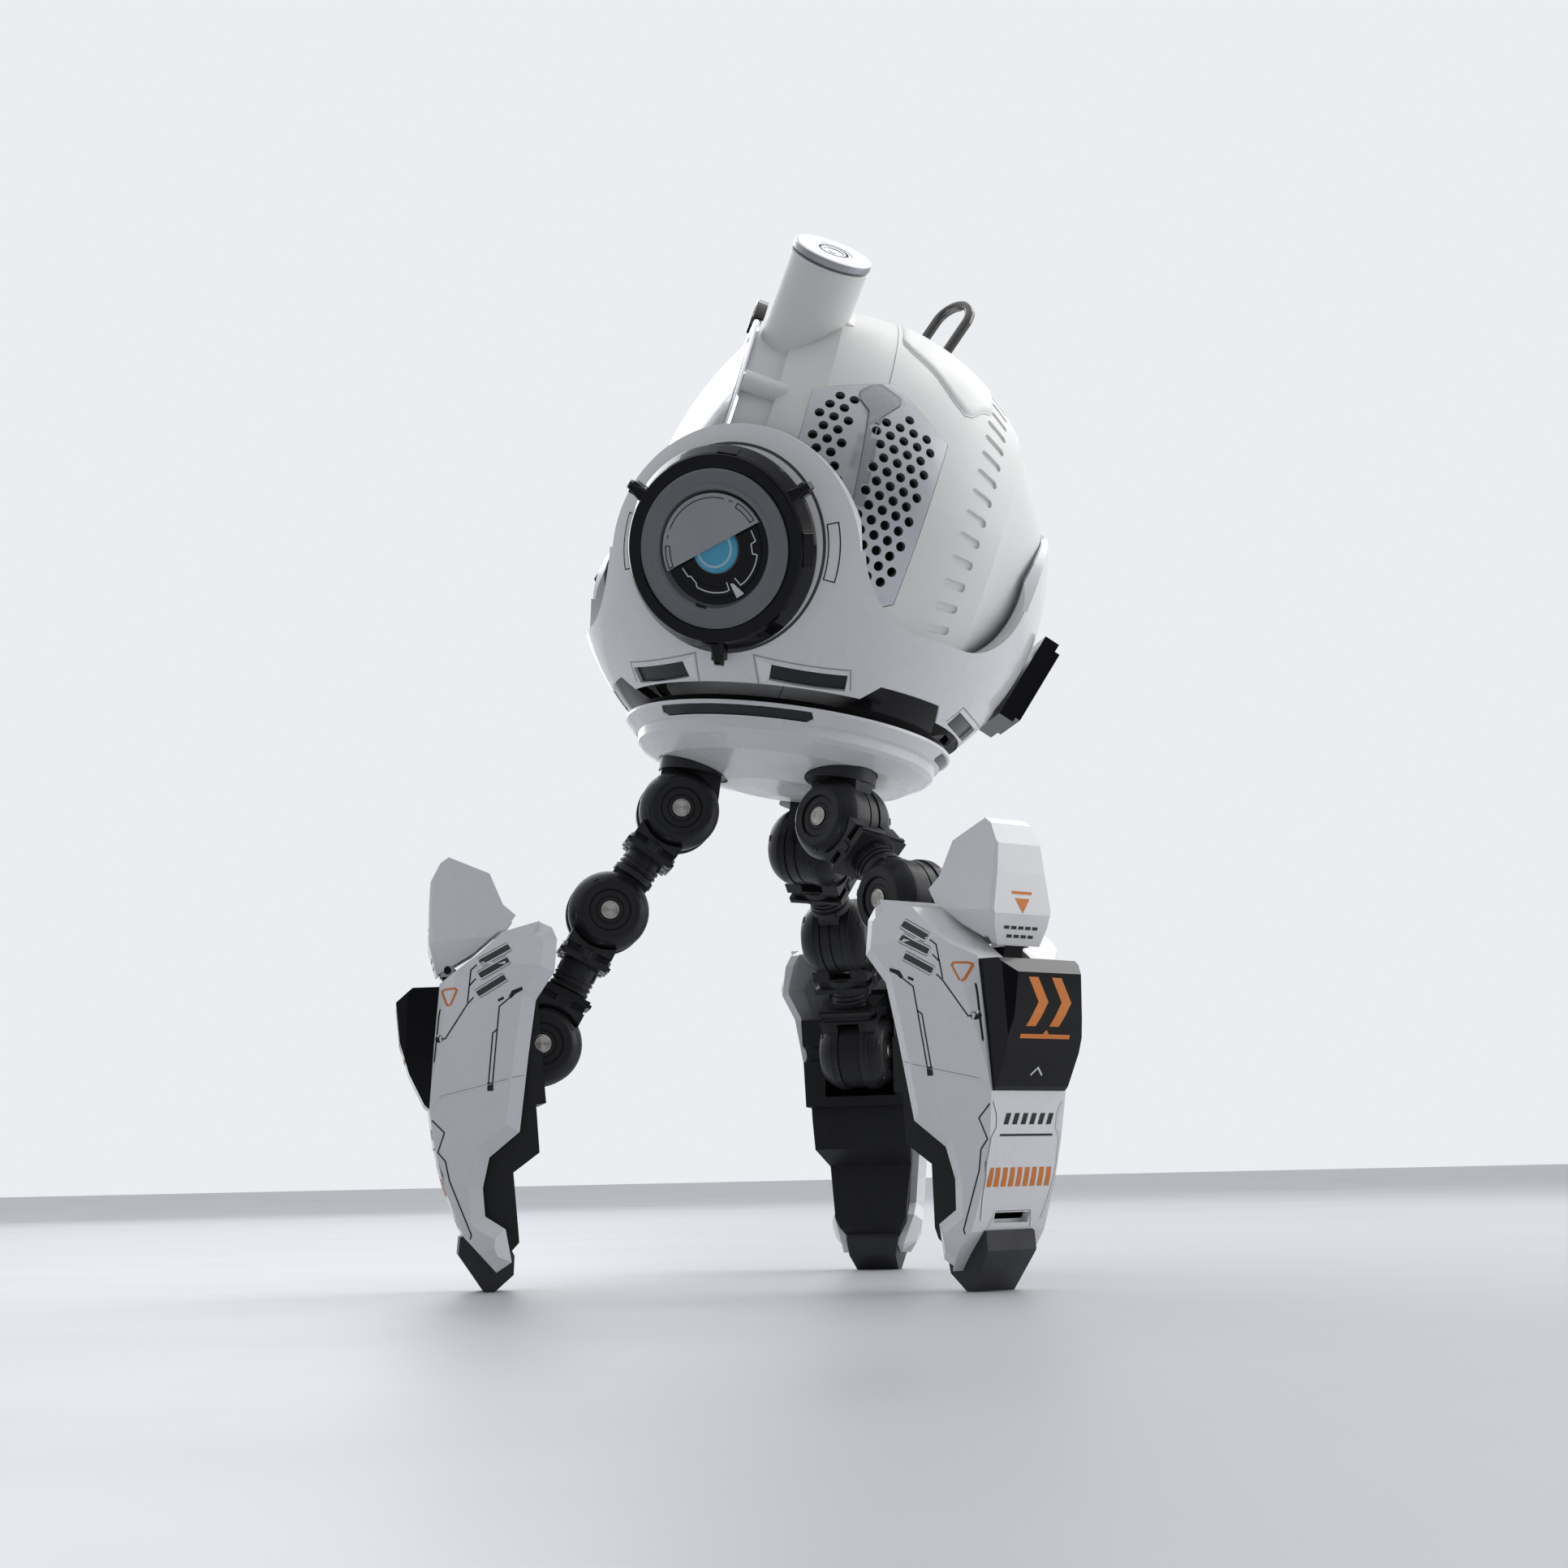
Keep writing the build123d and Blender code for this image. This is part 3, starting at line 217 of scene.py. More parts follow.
def paint_inner_shade(m, centre, r0, r1, col, rough):
    """Inside radius r0 of centre the material turns to col; outside r1 it keeps its own colour. Used to paint shade
    and a bluish sky reflection on faces inside the pod ball.
    """
    nt = m.node_tree
    b = [n for n in nt.nodes if n.type == "BSDF_PRINCIPLED"][0]
    tc = nt.nodes.new("ShaderNodeTexCoord")
    d = nt.nodes.new("ShaderNodeVectorMath")
    d.operation = "DISTANCE"
    d.inputs[1].default_value = centre
    nt.links.new(tc.outputs["Object"], d.inputs[0])
    mr = nt.nodes.new("ShaderNodeMapRange")
    mr.inputs["From Min"].default_value = r0
    mr.inputs["From Max"].default_value = r1
    nt.links.new(d.outputs["Value"], mr.inputs[0])
    mx = nt.nodes.new("ShaderNodeMix")
    mx.data_type = "RGBA"
    nt.links.new(mr.outputs[0], mx.inputs[0])
    mx.inputs[6].default_value = (*col, 1)
    nt.links.new(b.inputs["Base Color"].links[0].from_socket, mx.inputs[7])
    nt.links.new(mx.outputs[2], b.inputs["Base Color"])
    m2 = nt.nodes.new("ShaderNodeMix")
    nt.links.new(mr.outputs[0], m2.inputs[0])
    m2.inputs[2].default_value = rough
    nt.links.new(b.inputs["Roughness"].links[0].from_socket, m2.inputs[3])
    nt.links.new(m2.outputs[0], b.inputs["Roughness"])
    return m


# painted shade and painted sky reflection: the white cradle's inner faces, inside the pod ball radius, turn dark
# blue-grey and glossier
M["cradle_gloss"] = paint_inner_shade(mat("cradle_gloss_plastic_painted_inner_shade", (0.79, 0.79, 0.80), 0.26, coat=0.35, coat_rough=0.08, var=0.015, rvar=0.05, bump=0.03, bscale=1800),
                             (-0.0001833, 0.0239405, 0.201), 0.06292, 0.06300, (0.20, 0.235, 0.28), 0.12)
NODE_MAT = {"cradle_shell": "cradle_gloss", "accent_band": "black_gloss", "base_plate": "white_gloss", "dark_inserts": "dark_pocket",
            "pod_front_shell": "white_satin", "pod_rear_shell": "white_satin", "hoop_handle": "black_chrome", "side_grilles": "silver_grille",
            "speaker_drivers": "speaker", "circuit_board": "board", "battery_pack": "cell", "face_rim": "rim_chrome",
            "face_screen": "black_gloss", "face_dome": "clear_dome", "top_tube": "white_satin", "top_button": "cap_aluminium",
            "eye_bezels": "black_gloss", "eye_rings": "ring_grey", "eyelid_left": "grey_satin", "eyelid_right": "grey_satin", "rear_panel": "black_gloss"}
for k in (1, 2, 3):
    p = "leg%d_" % k
    for q in ("hip_yoke", "upper_fork", "upper_neck", "lower_fork", "lower_neck"):
        NODE_MAT[p + q] = "black_plastic"
    for q in ("hip_pin", "knee_pin", "ankle_pin"):
        NODE_MAT[p + q] = "pin_steel"
    NODE_MAT.update({p + "shank_frame": "frame_black", p + "armour_shell": "armour_white", p + "top_fin": "armour_white",
                     p + "number_box": "black_gloss", p + "toe": "toe_rubber"})
for name, key in NODE_MAT.items():
    o = N[name]
    if not o.material_slots:
        o.data.materials.append(M[key])
    for s in o.material_slots:
        s.link = "OBJECT"
        s.material = M[key]
BODY = {n: N[n]["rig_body"] for n in N}


# ------------------------------------------------------------------ mesh helpers (mm)
def obj_from(name, verts, faces, body, key, smooth=False, bevel=0.0):
    me = bpy.data.meshes.new(name)
    me.from_pydata([tuple(Vector(v) * MM) for v in verts], [], faces)
    me.validate()
    bm = bmesh.new()
    bm.from_mesh(me)
    bmesh.ops.recalc_face_normals(bm, faces=bm.faces)
    bm.to_mesh(me)
    bm.free()
    if smooth:
        for f in me.polygons:
            f.use_smooth = True
    ob = bpy.data.objects.new(name, me)
    bpy.context.scene.collection.objects.link(ob)
    me.materials.append(M[key])
    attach(ob, body)
    return ob


class Soup:
    """Collects many small pieces of one material and body into one object."""
    def __init__(self):
        self.v, self.f = [], []

    def add(self, verts, faces):
        k = len(self.v)
        self.v += [Vector(p) for p in verts]
        self.f += [tuple(i + k for i in f) for f in faces]

    def make(self, name, body, key, slot, smooth=False):
        if self.f:
            return obj_from(name, self.v, self.f, body, key, smooth)


def lathe(profile, m, seg=48, closed=False):
    """Turned surface about local Z of m, from (radius, height) points."""
    verts, faces = [], []
    n = len(profile)
    for k in range(seg):
        t = 2 * pi * k / seg
        for r, z in profile:
            verts.append(m @ Vector((max(r, 0.0) * cos(t), max(r, 0.0) * sin(t), z)))
    for k in range(seg):
        k2 = (k + 1) % seg
        for j in range(n - 1 + (1 if closed else 0)):
            j2 = (j + 1) % n
            faces.append((k * n + j, k2 * n + j, k2 * n + j2, k * n + j2))
    return verts, faces


def block(m, x0, x1, y0, y1, z0, z1, t=0.0, e=0.25):
    """Box with softened top edges: the +Z face is inset by e; t tapers the top further."""
    b = [(x0, y0, z0), (x1, y0, z0), (x1, y1, z0), (x0, y1, z0)]
    c = [(x0 + t, y0 + t, z1 - e), (x1 - t, y0 + t, z1 - e), (x1 - t, y1 - t, z1 - e), (x0 + t, y1 - t, z1 - e)]
    d = [(x0 + t + e, y0 + t + e, z1), (x1 - t - e, y0 + t + e, z1), (x1 - t - e, y1 - t - e, z1), (x0 + t + e, y1 - t - e, z1)]
    v = [m @ Vector(p) for p in b + c + d]
    f = [(3, 2, 1, 0)]
    for k in range(4):
        k2 = (k + 1) % 4
        f += [(k, k2, 4 + k2, 4 + k), (4 + k, 4 + k2, 8 + k2, 8 + k)]
    f.append((8, 9, 10, 11))
    return v, f


def stroke(pts, w, closed=False):
    """Polyline to quads of width w with mitred corners (2-D)."""
    pts = [Vector(p) for p in pts]
    n = len(pts)
    L, R = [], []
    for k in range(n):
        a = pts[k - 1] if (k > 0 or closed) else None
        b = pts[(k + 1) % n] if (k < n - 1 or closed) else None
        d0 = (pts[k] - a).normalized() if a is not None else None
        d1 = (b - pts[k]).normalized() if b is not None else None
        if d0 is None:
            d0 = d1
        if d1 is None:
            d1 = d0
        n0, n1 = Vector((-d0.y, d0.x)), Vector((-d1.y, d1.x))
        mm = n0 + n1
        if mm.length < 0.3:
            mm = n0
        mm = mm / max(0.35, 0.5 * mm.length_squared)
        L.append(pts[k] + mm * (w / 2))
        R.append(pts[k] - mm * (w / 2))
    polys = []
    for k in range(n if closed else n - 1):
        k2 = (k + 1) % n
        polys.append([L[k], L[k2], R[k2], R[k]])
    return polys


def arc(r, a0, a1, step=4.0, c=(0, 0)):
    n = max(2, int(abs(a1 - a0) / step) + 1)
    return [(c[0] + r * cos(radians(a0 + (a1 - a0) * k / (n - 1))), c[1] + r * sin(radians(a0 + (a1 - a0) * k / (n - 1)))) for k in range(n)]


_bvh = {}


def bvh(*names):
    key = tuple(sorted(names))
    if key not in _bvh:
        vs, fs = [], []
        for nme in key:
            me = N[nme].data
            k = len(vs)
            vs += [v.co.copy() * 1000.0 for v in me.vertices]
            fs += [tuple(i + k for i in p.vertices) for p in me.polygons]
        _bvh[key] = BVHTree.FromPolygons(vs, fs)
    return _bvh[key]


def stick(soup, polys, m, targets, off=0.06, step=1.2, start=120.0, flip=1, maxd=400.0):
    """Lay flat 2-D polygons of plane m (local X, Y) on the targets, along local -Z, and collect them."""
    tree = bvh(*targets)
    bm = bmesh.new()
    for p in polys:
        vs = [bm.verts.new((q[0], q[1], 0)) for q in p]
        try:
            bm.faces.new(vs)
        except ValueError:
            pass
    if not bm.faces:
        bm.free()
        return
    if step:
        for ax in (0, 1):
            lo = min(v.co[ax] for v in bm.verts)
            hi = max(v.co[ax] for v in bm.verts)
            k = math.ceil(lo / step)
            while k * step < hi:
                co = [0, 0, 0]
                no = [0, 0, 0]
                co[ax] = k * step
                no[ax] = 1
                bmesh.ops.bisect_plane(bm, geom=bm.verts[:] + bm.edges[:] + bm.faces[:], dist=1e-5, plane_co=co, plane_no=no)
                k += 1
    d = -(m.to_3x3() @ Vector((0, 0, 1)))
    bad = set()
    pos = {}
    for v in bm.verts:
        s = m @ Vector((v.co.x, v.co.y, start))
        hit, nrm, idx, dist = tree.ray_cast(s, d, maxd)
        if hit is None:
            bad.add(v)
            continue
        if nrm.dot(d) > 0:
            nrm = -nrm
        pos[v] = hit + nrm * off * 0.6 - d * off * 0.6
    verts, faces, idx = [], [], {}
    for f in bm.faces:
        if any(v in bad for v in f.verts):
            continue
        q = [pos[v] for v in f.verts]
        if max((q[i] - q[i - 1]).length for i in range(len(q))) > 4.0 * (step or 1e9):
            continue
        for v in f.verts:
            if v not in idx:
                idx[v] = len(verts)
                verts.append(pos[v])
        faces.append(tuple(idx[v] for v in f.verts))
    bm.free()
    soup.add(verts, faces)
    return


# ------------------------------------------------------------------ camera, light, floor
def camera():
    a, p, r = radians(80.304), radians(9.248), radians(-1.18)
    f = Vector((-sin(a) * cos(p), cos(a) * cos(p), sin(p)))
    R = Vector((cos(a), sin(a), 0))
    U = R.cross(f)
    R2 = R * cos(r) + U * sin(r)
    U2 = -R * sin(r) + U * cos(r)
    cam = bpy.data.cameras.new("camera")
    cam.lens, cam.sensor_width, cam.clip_start, cam.clip_end = 54.45, 36.0, 0.01, 20.0
    ob = bpy.data.objects.new("camera", cam)
    bpy.context.scene.collection.objects.link(ob)
    ob.matrix_world = frm(Vector((0.62549 + SX * MM, -0.10473 + SY * MM, 0.02911)), R2, U2, -f)
    bpy.context.scene.camera = ob


camera()


def area(name, loc, target, size, power, col=(1, 1, 1)):
    l = bpy.data.lights.new(name, "AREA")
    l.shape, l.size, l.size_y, l.energy, l.color = "RECTANGLE", size[0], size[1], power, col
    ob = bpy.data.objects.new(name, l)
    bpy.context.scene.collection.objects.link(ob)
    d = (Vector(target) - Vector(loc)).normalized()
    ob.rotation_euler = d.to_track_quat("-Z", "Y").to_euler()
    ob.location = loc


area("key_top", (-0.35, 0.75, 1.15), (0, 0, 0.17), (1.1, 0.9), 7.0, (1.0, 0.995, 0.985))
area("rim_back", (-1.1, -0.25, 0.75), (0, 0, 0.17), (0.8, 0.9), 5.0, (0.97, 0.985, 1.0))
area("side_right", (0.15, 1.25, 0.55), (0, 0, 0.14), (0.9, 0.8), 4.5, (1.0, 1.0, 1.0))
world = bpy.data.worlds.new("pale_studio")
bpy.context.scene.world = world
world.use_nodes = True
wt = world.node_tree
bg = wt.nodes["Background"]
tcw = wt.nodes.new("ShaderNodeTexCoord")
dot = wt.nodes.new("ShaderNodeVectorMath")
dot.operation = "DOT_PRODUCT"
dot.inputs[1].default_value = (-0.80, 0.25, 0.55)
wt.links.new(tcw.outputs["Generated"], dot.inputs[0])
ramp = wt.nodes.new("ShaderNodeValToRGB")
ramp.color_ramp.elements[0].position = 0.05
ramp.color_ramp.elements[1].position = 0.80
ramp.color_ramp.elements[0].color = (0.075, 0.082, 0.095, 1)
ramp.color_ramp.elements[1].color = (0.83, 0.85, 0.875, 1)
mrw = wt.nodes.new("ShaderNodeMapRange")
mrw.inputs["From Min"].default_value = -1.0
mrw.inputs["From Max"].default_value = 1.0
wt.links.new(dot.outputs["Value"], mrw.inputs[0])
wt.links.new(mrw.outputs[0], ramp.inputs[0])
wt.links.new(ramp.outputs[0], bg.inputs[0])
bg.inputs[1].default_value = 1.0
bpy.context.scene.view_settings.view_transform = "Standard"

fl = bpy.data.meshes.new("floor")
fl.from_pydata([(-6, -6, 0), (6, -6, 0), (6, 6, 0), (-6, 6, 0)], [], [(0, 1, 2, 3)])
fo = bpy.data.objects.new("floor", fl)
bpy.context.scene.collection.objects.link(fo)
fm = mat("pale_floor", (0.50, 0.51, 0.53), 0.45, var=0.02, vscale=3.0, rvar=0.05, rscale=8)
fl.materials.append(fm)

#DETAILS
# ------------------------------------------------------------------ legs
def side_frame(i, sg):
    """Plane for marks on one side wall: local X = radius, Y = height, Z = outward."""
    L = LEG[i]
    x, z = L.to_3x3() @ Vector((0, 1, 0)), L.to_3x3() @ Vector((0, 0, 1))
    n = (L.to_3x3() @ Vector((1, 0, 0))) * sg
    return frm(L.translation, x, z, n)


def front_frame(i):
    """Plane for marks on the front: local X = across, Y = height, Z = outward."""
    L = LEG[i]
    return frm(L.translation, L.to_3x3() @ Vector((1, 0, 0)), L.to_3x3() @ Vector((0, 0, 1)), L.to_3x3() @ Vector((0, 1, 0)))


def pill(a, b, w, cut=0.45):
    a, b = Vector(a), Vector(b)
    d = (b - a).normalized()
    n = Vector((-d.y, d.x)) * (w / 2)
    return [a + d * cut - n, b - d * cut - n, b - n + n * cut, b + n - n * cut * 0.4, b - d * cut + n, a + d * cut + n, a + n - n * cut, a - n + n * cut * 0.4]


PILLS = [((81.7, 82.7), (74.1, 86.8)), ((81.9, 79.3), (74.4, 83.4)), ((82.4, 74.7), (75.2, 79.0))]
for i in range(3):
    p = "leg%d_" % (i + 1)
    shank, fin = p + "shank", p + "fin"
    ink, orange, pale, shade, recess = Soup(), Soup(), Soup(), Soup(), Soup()
    for sg in (1, -1):
        m = side_frame(i, sg)
        T = [p + "armour_shell"]
        for a, b in PILLS:
            # painted shade fills each pill slot and a painted highlight rings its rim; the ink outline is print
            q = pill(a, b, 1.45)
            stick(recess, [q], m, T, 0.05, 2.0)
            stick(pale, stroke(pill(a, b, 1.95), 0.30, True), m, T, 0.06, 2.0)
            stick(ink, stroke(pill(a, b, 2.35), 0.22, True), m, T, 0.05, 2.0)
        lines = [[(82.4, 82.2), (83.9, 80.9), (84.7, 72.8)], [(82.7, 78.7), (84.2, 77.0)], [(83.2, 74.0), (84.7, 72.4), (90.2, 63.8), (91.2, 63.8)],
                 [(73.9, 73.9), (76.8, 71.5), (77.3, 65.8), (78.4, 64.9), (79.4, 52.4)], [(77.3, 65.8), (78.4, 52.4)],
                 [(93.4, 43.4), (90.3, 40.2), (91.9, 35.3), (90.0, 33.0), (89.0, 28.2), (83.5, 14.6), (84.3, 11.2)],
                 [(92.4, 71.9), (91.5, 71.3), (91.8, 69.3), (92.9, 58.2), (93.8, 56.4)]]
        for l in lines:
            stick(ink, stroke(l, 0.34), m, T, 0.05, 1.5)
        stick(ink, [[(79.7, 52.5), (78.2, 52.5), (78.2, 50.4), (79.7, 50.4)]], m, T, 0.06, 2.0)
        stick(ink, [[(71.2, 76.3), (73.7, 75.4), (74.5, 73.9), (73.8, 73.5), (72.9, 74.5), (71.0, 75.5)], [(75.8, 74.0), (75.6, 73.4), (77.0, 72.7), (77.2, 73.3)]], m, T, 0.06, 2.0)
        stick(ink, [[(91.7 + 0.95 * cos(t), 63.8 + 0.95 * sin(t)) for t in [k * pi / 8 for k in range(16)]]], m, T, 0.07, 2.0)
        stick(pale, [[(92.0, 64.0), (91.6, 64.9), (92.3, 64.9)]], m, T, 0.10, 2.0)
        tri = [(90.9, 75.9), (90.3, 76.3), (88.0, 76.4), (87.4, 76.0), (87.5, 75.5), (88.9, 72.4), (89.5, 72.1), (89.9, 72.5), (90.9, 75.4)]
        stick(orange, stroke(tri, 0.48, True), m, T, 0.06, 1.5)
        # painted shadow line and painted highlight line along the shell seam
        stick(shade, stroke([(93.0, 47.3), (91.5, 49.3), (72.0, 53.9), (69.6, 54.4)], 0.16), m, T, 0.05, 1.5)
        stick(pale, stroke([(93.1, 47.05), (91.6, 49.05), (72.0, 53.65), (69.6, 54.15)], 0.30), m, T, 0.06, 1.5)
    # front of the shell
    m = front_frame(i)
    T = [p + "armour_shell"]
    for k in range(6):
        x = -7.6 + k * 2.75
        stick(ink, [[(x, 38.6), (x + 1.5, 38.6), (x + 2.3, 41.2), (x + 0.8, 41.2)]], m, T, 0.06, 1.5)
    stick(ink, [[(-8.5, 35.9), (8.5, 35.9), (8.5, 36.4), (-8.5, 36.4)]], m, T, 0.06, 1.5)
    for k in range(9):
        x = -9.9 + k * 2.34
        if k == 0:
            stick(orange, [[(-10.8, 24.3), (x + 1.0, 24.3), (x + 1.0, 28.7), (-10.0, 28.7)]], m, T, 0.06, 1.2)
        else:
            stick(orange, [[(x - 0.7, 24.3), (x + 0.85, 24.3), (x + 0.7, 28.7), (x - 0.75, 28.7)]], m, T, 0.06, 1.2)
    for sg in (1, -1):
        rib = [(sg * 11.1, 44.0), (sg * 9.7, 41.0), (sg * 9.5, 38.0), (sg * 10.9, 35.6), (sg * 11.2, 29.7), (sg * 10.6, 22.0), (sg * 9.6, 16.6)]
        # painted highlight on the rib with a painted shadow line beside it
        stick(pale, stroke(rib, 0.45), m, T, 0.14, 1.2)
        stick(shade, stroke([(a + sg * 0.34, b) for a, b in rib], 0.20), m, T, 0.06, 1.2)
    # painted shadow and painted highlight along the lower front seam
    stick(shade, stroke([(-6.6, 15.0), (-5.6, 18.7), (5.6, 18.7), (6.6, 15.0)], 0.20), m, T, 0.06, 1.2)
    stick(pale, stroke([(-6.9, 14.9), (-5.8, 19.0), (5.8, 19.0), (6.9, 14.9)], 0.35), m, T, 0.08, 1.2)
    ink.make(p + "shank_lines", shank, "ink", "black_plastic")
    orange.make(p + "shank_orange_marks", shank, "orange", "white_gloss")
    pale.make(p + "shank_pale_highlights_and_mark", shank, "white_line", "white_gloss")
    shade.make(p + "shank_seams", shank, "shade_line", "white_gloss")
    recess.make(p + "shank_pill_slots", shank, "deep_line", "black_plastic")
    # number box: a plain double chevron over a line, no figures
    o2, g2 = Soup(), Soup()
    T = [p + "number_box"]
    for dx in (-6.9, 0.6):
        stick(o2, [[(dx, 61.0), (dx + 3.1, 61.0), (dx + 6.6, 66.6), (dx + 3.1, 72.3), (dx, 72.3), (dx + 3.4, 66.6)]], m, T, 0.07, 1.2)
    stick(o2, [[(-8.2, 58.2), (7.8, 58.2), (7.8, 59.2), (0.9, 59.2), (-0.1, 60.2), (-1.1, 59.2), (-8.2, 59.2)]], m, T, 0.07, 1.2)
    stick(g2, stroke([(-1.9, 49.9), (-0.1, 51.6), (1.8, 49.9)], 0.45), m, T, 0.07, 1.2)
    o2.make(p + "box_orange_marks", shank, "orange", "black_gloss")
    g2.make(p + "box_lower_mark", shank, "silver_ink", "black_gloss")
    # fin
    o3, k3 = Soup(), Soup()
    T = [p + "top_fin"]
    stick(o3, [[(-3.2, 92.7), (3.0, 92.7), (3.2, 93.4), (-3.4, 93.4)], [(-2.4, 91.7), (2.4, 91.7), (0.0, 88.2)]], m, T, 0.06, 1.2)
    for row, z, n in ((0, 84.4, 5), (1, 82.4, 4)):
        for k in range(n):
            x = -(n * 2.3) / 2 + k * 2.3
            stick(k3, [[(x + 0.25, z), (x + 1.95, z), (x + 1.95, z + 0.75), (x + 0.25, z + 0.75)]], m, T, 0.06, 1.2)
    o3.make(p + "fin_orange_marks", fin, "orange", "white_gloss")
    k3.make(p + "fin_dashes", fin, "ink", "white_gloss")

# ------------------------------------------------------------------ knuckles
CHEEK = [(2.62, 8.3), (2.62, 9.02), (3.3, 9.02), (3.42, 8.90), (3.60, 8.90), (3.72, 9.04), (5.15, 9.04), (5.25, 8.86), (5.62, 8.86), (5.74, 9.50), (5.86, 9.64),
         (7.35, 9.66), (7.75, 9.60), (8.35, 9.16), (9.1, 8.36), (9.75, 7.44), (10.25, 6.5), (10.52, 5.75), (10.64, 5.2), (10.64, 4.2), (10.45, 3.9), (9.6, 3.9)]
PINCAP = [(0.0, 9.52), (0.25, 9.55), (0.5, 9.50), (0.75, 9.55), (1.0, 9.50), (1.25, 9.55), (1.5, 9.50), (1.75, 9.55), (1.98, 9.53), (2.22, 9.42), (2.34, 9.25), (2.34, 8.7)]


def axis_frame(o, ax, up, sg):
    """Local Z along the pin outward, X along the link."""
    z = ax.normalized() * sg
    x = (up - z * up.dot(z)).normalized()
    return frm(o, x, z.cross(x), z)


def jax(name):
    return Vector(joints[name]["axis"])


def knuckle(body_cheek, body_pin, o, ax, link, tag):
    ck, pn, tk = Soup(), Soup(), Soup()
    for sg in (1, -1):
        m = axis_frame(o, ax, link, sg)
        ck.add(*lathe(CHEEK, m, 56, closed=True))
        pn.add(*lathe(PINCAP, m, 36))
        for ang in (145, 12, -52, -128):
            q = m @ Matrix.Rotation(radians(ang), 4, "Z") @ Matrix.Translation((8.72, 0, 8.62)) @ Matrix.Rotation(radians(45), 4, "Y")
            ck.add(*block(q, -0.42, 0.42, -0.85, 0.85, -0.35, 0.30, 0.0, 0.08))
            tk.add(*block(q, -0.20, 0.20, -0.62, 0.62, 0.22, 0.325, 0.0, 0.01))
        for ang in (0, 90, 180, 270):
            q = m @ Matrix.Rotation(radians(ang), 4, "Z")
            ck.add(*block(q, 3.75, 5.1, -0.10, 0.10, 8.9, 9.12, 0.0, 0.05))
    ck.make(tag + "_cheek_covers", body_cheek, "black_plastic", "black_plastic", smooth=False)
    pn.make(tag + "_pin_ends", body_pin, "pin_steel", "pin_steel")
    tk.make(tag + "_cheek_marks", body_cheek, "deep_line", "black_plastic")


def collar(m, body, tag, z0=-11.2, z1=-15.2):
    """Clamp lugs and bands round a fork's collar; local Z up the link, mouth at z1."""
    s = Soup()
    s.add(*lathe([(6.2, z0 + 0.2), (7.05, z0 - 0.4), (7.05, z1 + 1.2), (6.75, z1 + 1.0), (6.75, z1 + 0.6), (7.0, z1 + 0.45), (7.0, z1 - 0.1), (6.2, z1 - 0.25)], m, 40, closed=True))
    for a in (0, 180):
        q = m @ Matrix.Rotation(radians(a), 4, "Z") @ Matrix.Rotation(radians(90), 4, "Y")
        s.add(*block(q, 11.4, 14.8, -1.5, 1.5, 5.0, 8.75, 0.35, 0.25))
    for a in (45, 135, 225, 315):
        q = m @ Matrix.Rotation(radians(a), 4, "Z") @ Matrix.Rotation(radians(90), 4, "Y")
        s.add(*block(q, 12.0, 13.6, -0.9, 0.9, 5.0, 7.35, 0.1, 0.15))
    s.make(tag + "_collar_bands", body, "black_plastic", "black_plastic")


def neck(m, body, tag, z0, z1, r=5.0):
    """Ribs and slots on a neck tube between stations z1 < z0 (local Z up the link); the slots are dark strips of
    painted shade.
    """
    s, d = Soup(), Soup()
    for z in (z1 + 0.8, z1 + 2.2):
        s.add(*lathe([(r - 0.2, z - 0.35), (r + 0.42, z - 0.25), (r + 0.42, z + 0.25), (r - 0.2, z + 0.35)], m, 36, closed=True))
    for a in (25, 115, 205, 295) if z0 - z1 > 4.0 else ():
        q = m @ Matrix.Rotation(radians(a), 4, "Z") @ Matrix.Rotation(radians(90), 4, "Y")
        d.add(*block(q, -(z0 - 0.8), -(z1 + 3.2), -0.22, 0.22, r - 0.4, r + 0.05, 0.0, 0.01))
    for a in (70, 250) if z0 - z1 > 4.0 else ():
        q = m @ Matrix.Rotation(radians(a), 4, "Z") @ Matrix.Rotation(radians(90), 4, "Y")
        s.add(*block(q, -(z0 - 0.4), -(z1 + 3.0), -0.7, 0.7, r - 0.6, r + 0.38, 0.0, 0.12))
    s.make(tag + "_neck_ribs", body, "black_plastic", "black_plastic")
    if d.v:
        d.make(tag + "_neck_slots", body, "deep_line", "black_plastic")


L1, L2 = 33.2, 35.4
for i in range(3):
    p = "leg%d_" % (i + 1)
    hip, knee, ank = jpos(p + "hip_hinge"), jpos(p + "knee_hinge"), jpos(p + "ankle_hinge")
    a1, per, d1, d2 = -jax(p + "hip_hinge"), -jax(p + "knee_hinge"), -jax(p + "upper_twist"), -jax(p + "lower_twist")
    knuckle(p + "thigh", p + "thigh", hip, a1, d1, p + "hip")
    knuckle(p + "shin", p + "shin", knee, per, d2, p + "knee")
    knuckle(p + "ankle", p + "ankle", ank, per, d2, p + "ankle")
    collar(at(hip, a1, -d1), p + "thigh", p + "hip")
    collar(at(knee, per, -d2), p + "shin", p + "knee")
    pull = 3.6 if i == 0 else 0.0
    neck(at(hip, per, -d1), p + "knee", p + "upper", -15.4, -(L1 - 11.3) + 2.2)
    neck(at(knee + d2 * pull, per, -d2), p + "ankle", p + "lower", -15.6 + pull, -(L2 - 11.6) + 5.8)
    # swivel position and axis are read; no flange lip is built
    sw, up = jpos(p + "hip_swivel"), jax(p + "hip_swivel")
    s = Soup()

